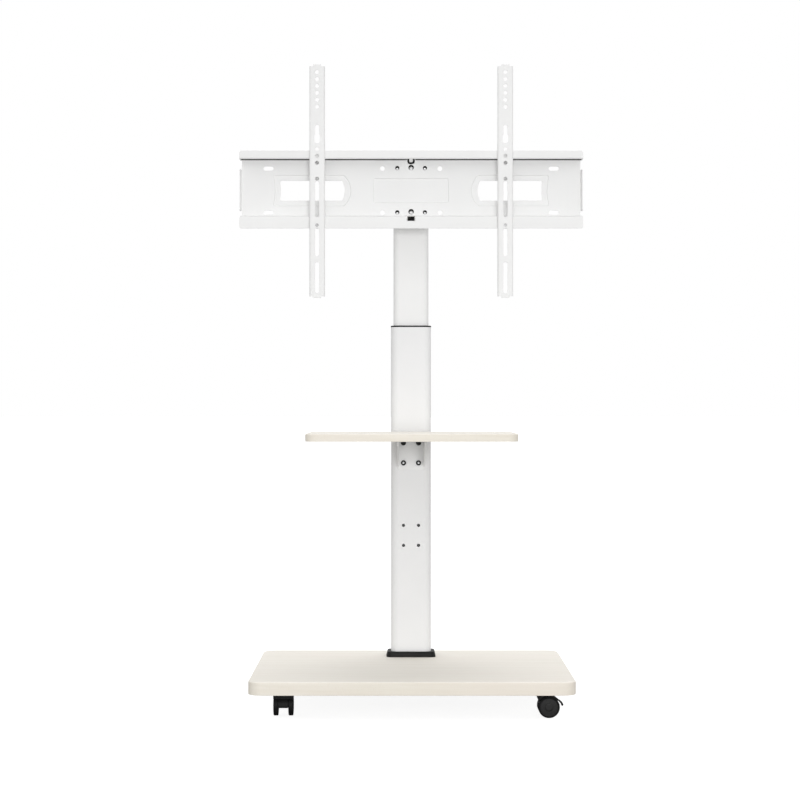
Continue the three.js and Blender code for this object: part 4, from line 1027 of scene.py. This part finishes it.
TYRE_SEAT = 17.0
tyre_profile = [(TYRE_SEAT, WHEEL_INNER), (19.2, WHEEL_INNER), (19.75, 9.95), (20, 10.5), (20, 16.9),
                (19.8, 17.7), (19.4, 18.1), (18.9, WHEEL_OUTER), (18, WHEEL_OUTER), (17.3, 17.9),
                (TYRE_SEAT, 17.3)]
tyre_shape = loft([level(circle(radius, steps=72), height) for radius, height in tyre_profile],
                  closed=True)
core_shape = lathe([(0.5, 17.1), (3.3, 17.1), (3.3, WHEEL_INNER), (TYRE_SEAT, WHEEL_INNER),
                    (TYRE_SEAT, 17.3), (16.6, 17.5), (15.9, 17.1), (15.4, 17.1), (14.9, 17.4),
                    (8, 17.4), (7.3, 17.6), (7, 17.9), (6.4, WHEEL_OUTER), (4, WHEEL_OUTER),
                    (0.5, WHEEL_OUTER)], steps=72)
hood_shapes = {True: hood(True), False: hood(False)}
pedal_path = [(25, -QUARTER * 0.9, 1.6), (2.2, 0, 0)]
pedal_end = flat_length(pedal_path)
pedal_outline = [(0, -7), (16.5, -7), (18, -8.2), (18.3, -11), (19.5, -12.6), (21, -13),
                 (pedal_end - 3, -13), (pedal_end - 0.9, -12.1), (pedal_end, -10)]
pedal_outline += [(x, -y) for x, y in pedal_outline[::-1]]


def on_pedal(u, v, lift):
    across, out = folded(max(u, 0.001), lift, pedal_path)
    return (across, v, out + lift)


pedal_sheet = sheet(pedal_outline, [], arc_rim(1.1, -1.1, 0.5, 0.5, steps=3), on_pedal,
                    [(0, place) for place in bend_places(pedal_path)])
pedal_shape = combined("UNION", pedal_sheet, rod_along_y(2, -6.9, 6.9, 0, 0),
                       rod_along_y(1.2, -9.5, 9.5, 0, 0))
pedal_shape = moved(pedal_shape, PEDAL_X, 0, PEDAL_Z, Matrix.Rotation(PEDAL_SLOPE, 3, "Y"))
king_pin = lathe([(3, 38), (3.5, 38.5), (3.5, 49)])
castor_plate = sheet(rounded_rectangle(40, 40, 4), [], arc_rim(50, 48, 0.4, 0.4), upright)
castor_plate = combined("UNION", castor_plate, king_pin)
axle_shape = rod_along_y(3, -16.8, 16.8, AXLE_REACH, AXLE_HEIGHT)

for name, x, y, trail in (("front_left", -239, -147, 90), ("front_right", 239, -147, 0),
                          ("back_left", -239, 147, 90), ("back_right", 239, 147, 90)):
    castor = f"caster_{name}"
    turn = Matrix.Rotation(math.radians(trail), 3, "Z")
    braked = name.startswith("front")
    piece(f"{castor}_plate_plated", moved(castor_plate, x, y, 0, turn), zinc, "stand",
          [f"{castor}_plate"])
    piece(f"{castor}_hood_moulded", moved(hood_shapes[braked], x, y, 0, turn), moulded,
          castor, [f"{castor}_hood"])
    piece(f"{castor}_axle_plated", moved(axle_shape, x, y, 0, turn), zinc, castor,
          [f"{castor}_axle"])
    for number, spin in ((1, QUARTER), (2, -QUARTER)):
        wheel = f"{castor}_wheel_{number}"
        on_axle = (AXLE_REACH, 0, AXLE_HEIGHT, Matrix.Rotation(spin, 3, "X"))
        tyre, core = [moved(moved(shape, *on_axle), x, y, 0, turn) for shape in (tyre_shape, core_shape)]
        piece(f"{wheel}_tyre", tyre, tread, wheel, [wheel])
        piece(f"{wheel}_core", core, wheel_core, wheel)
    if braked:
        piece(f"{castor}_pedal_moulded", moved(pedal_shape, x, y, 0, turn), moulded,
              f"{castor}_pedal", [f"{castor}_pedal"])


# The studio
# A white floor and a white room round it, a broad lamp behind the camera, another overhead, and
# the camera straight in front of the stand at the height of its shelf.
scene = bpy.context.scene
scene.view_settings.view_transform = "Standard"

floor_mesh = bpy.data.meshes.new("floor")
floor_mesh.from_pydata([(-30, -12, 0), (30, -12, 0), (30, 60, 0), (-30, 60, 0)], [], [(0, 1, 2, 3)])
floor = bpy.data.objects.new("floor", floor_mesh)
scene.collection.objects.link(floor)
paper = Finish("white_floor_paper")
paper_grain = paper.noise(300)
seen = paper.node("ShaderNodeLightPath", output="Is Camera Ray")
reach = paper.node("ShaderNodeVectorMath", {"operation": "LENGTH"}, {0: paper.place}, output="Value")
glow = seen * (0.88 + 0.12 * paper.ramp(reach, 0.5, 2.0))
paper.show(Base_Color=(0.36, 0.36, 0.36, 1), Roughness=0.8 + 0.1 * paper_grain,
           Emission_Color=paper.tint(glow, (0, 0, 0, 1), (1, 1, 1, 1)), Emission_Strength=1.0)
floor_mesh.materials.append(paper.material)

ROOM_LIGHT = 0.75
world = bpy.data.worlds.new("white_room")
scene.world = world
world.use_nodes = True
room = Nodes(world.node_tree, "Background")
straight, reflected, through = [room.node("ShaderNodeLightPath", output=ray)
                                for ray in ("Is Camera Ray", "Is Glossy Ray", "Is Transmission Ray")]
shown = straight.larger(reflected.larger(through))
room.show(Color=(1, 1, 1, 1), Strength=ROOM_LIGHT + (1 - ROOM_LIGHT) * shown)


def lamp(name, place, target, size, watts):
    """A square soft lamp that faces a target."""
    light = bpy.data.lights.new(name, "AREA")
    light.shape = "SQUARE"
    light.size = size
    light.energy = watts
    made = bpy.data.objects.new(name, light)
    made.location = place
    made.rotation_euler = (Vector(target) - Vector(place)).to_track_quat("-Z", "Y").to_euler()
    scene.collection.objects.link(made)


lamp("front_lamp", (0.3, -4.4, 0.8), (0, 0.1, 0.6), 1.5, 79)
lamp("top_lamp", (0.2, 1.2, 4.2), (0, 0, 0.4), 3.0, 62)

camera = bpy.data.cameras.new("camera")
camera.lens = 85
camera.sensor_width = 36
camera_object = bpy.data.objects.new("camera", camera)
camera_object.location = (-0.022, -3.655, 0.588)
camera_object.rotation_euler = (QUARTER, 0, 0)
scene.collection.objects.link(camera_object)
scene.camera = camera_object
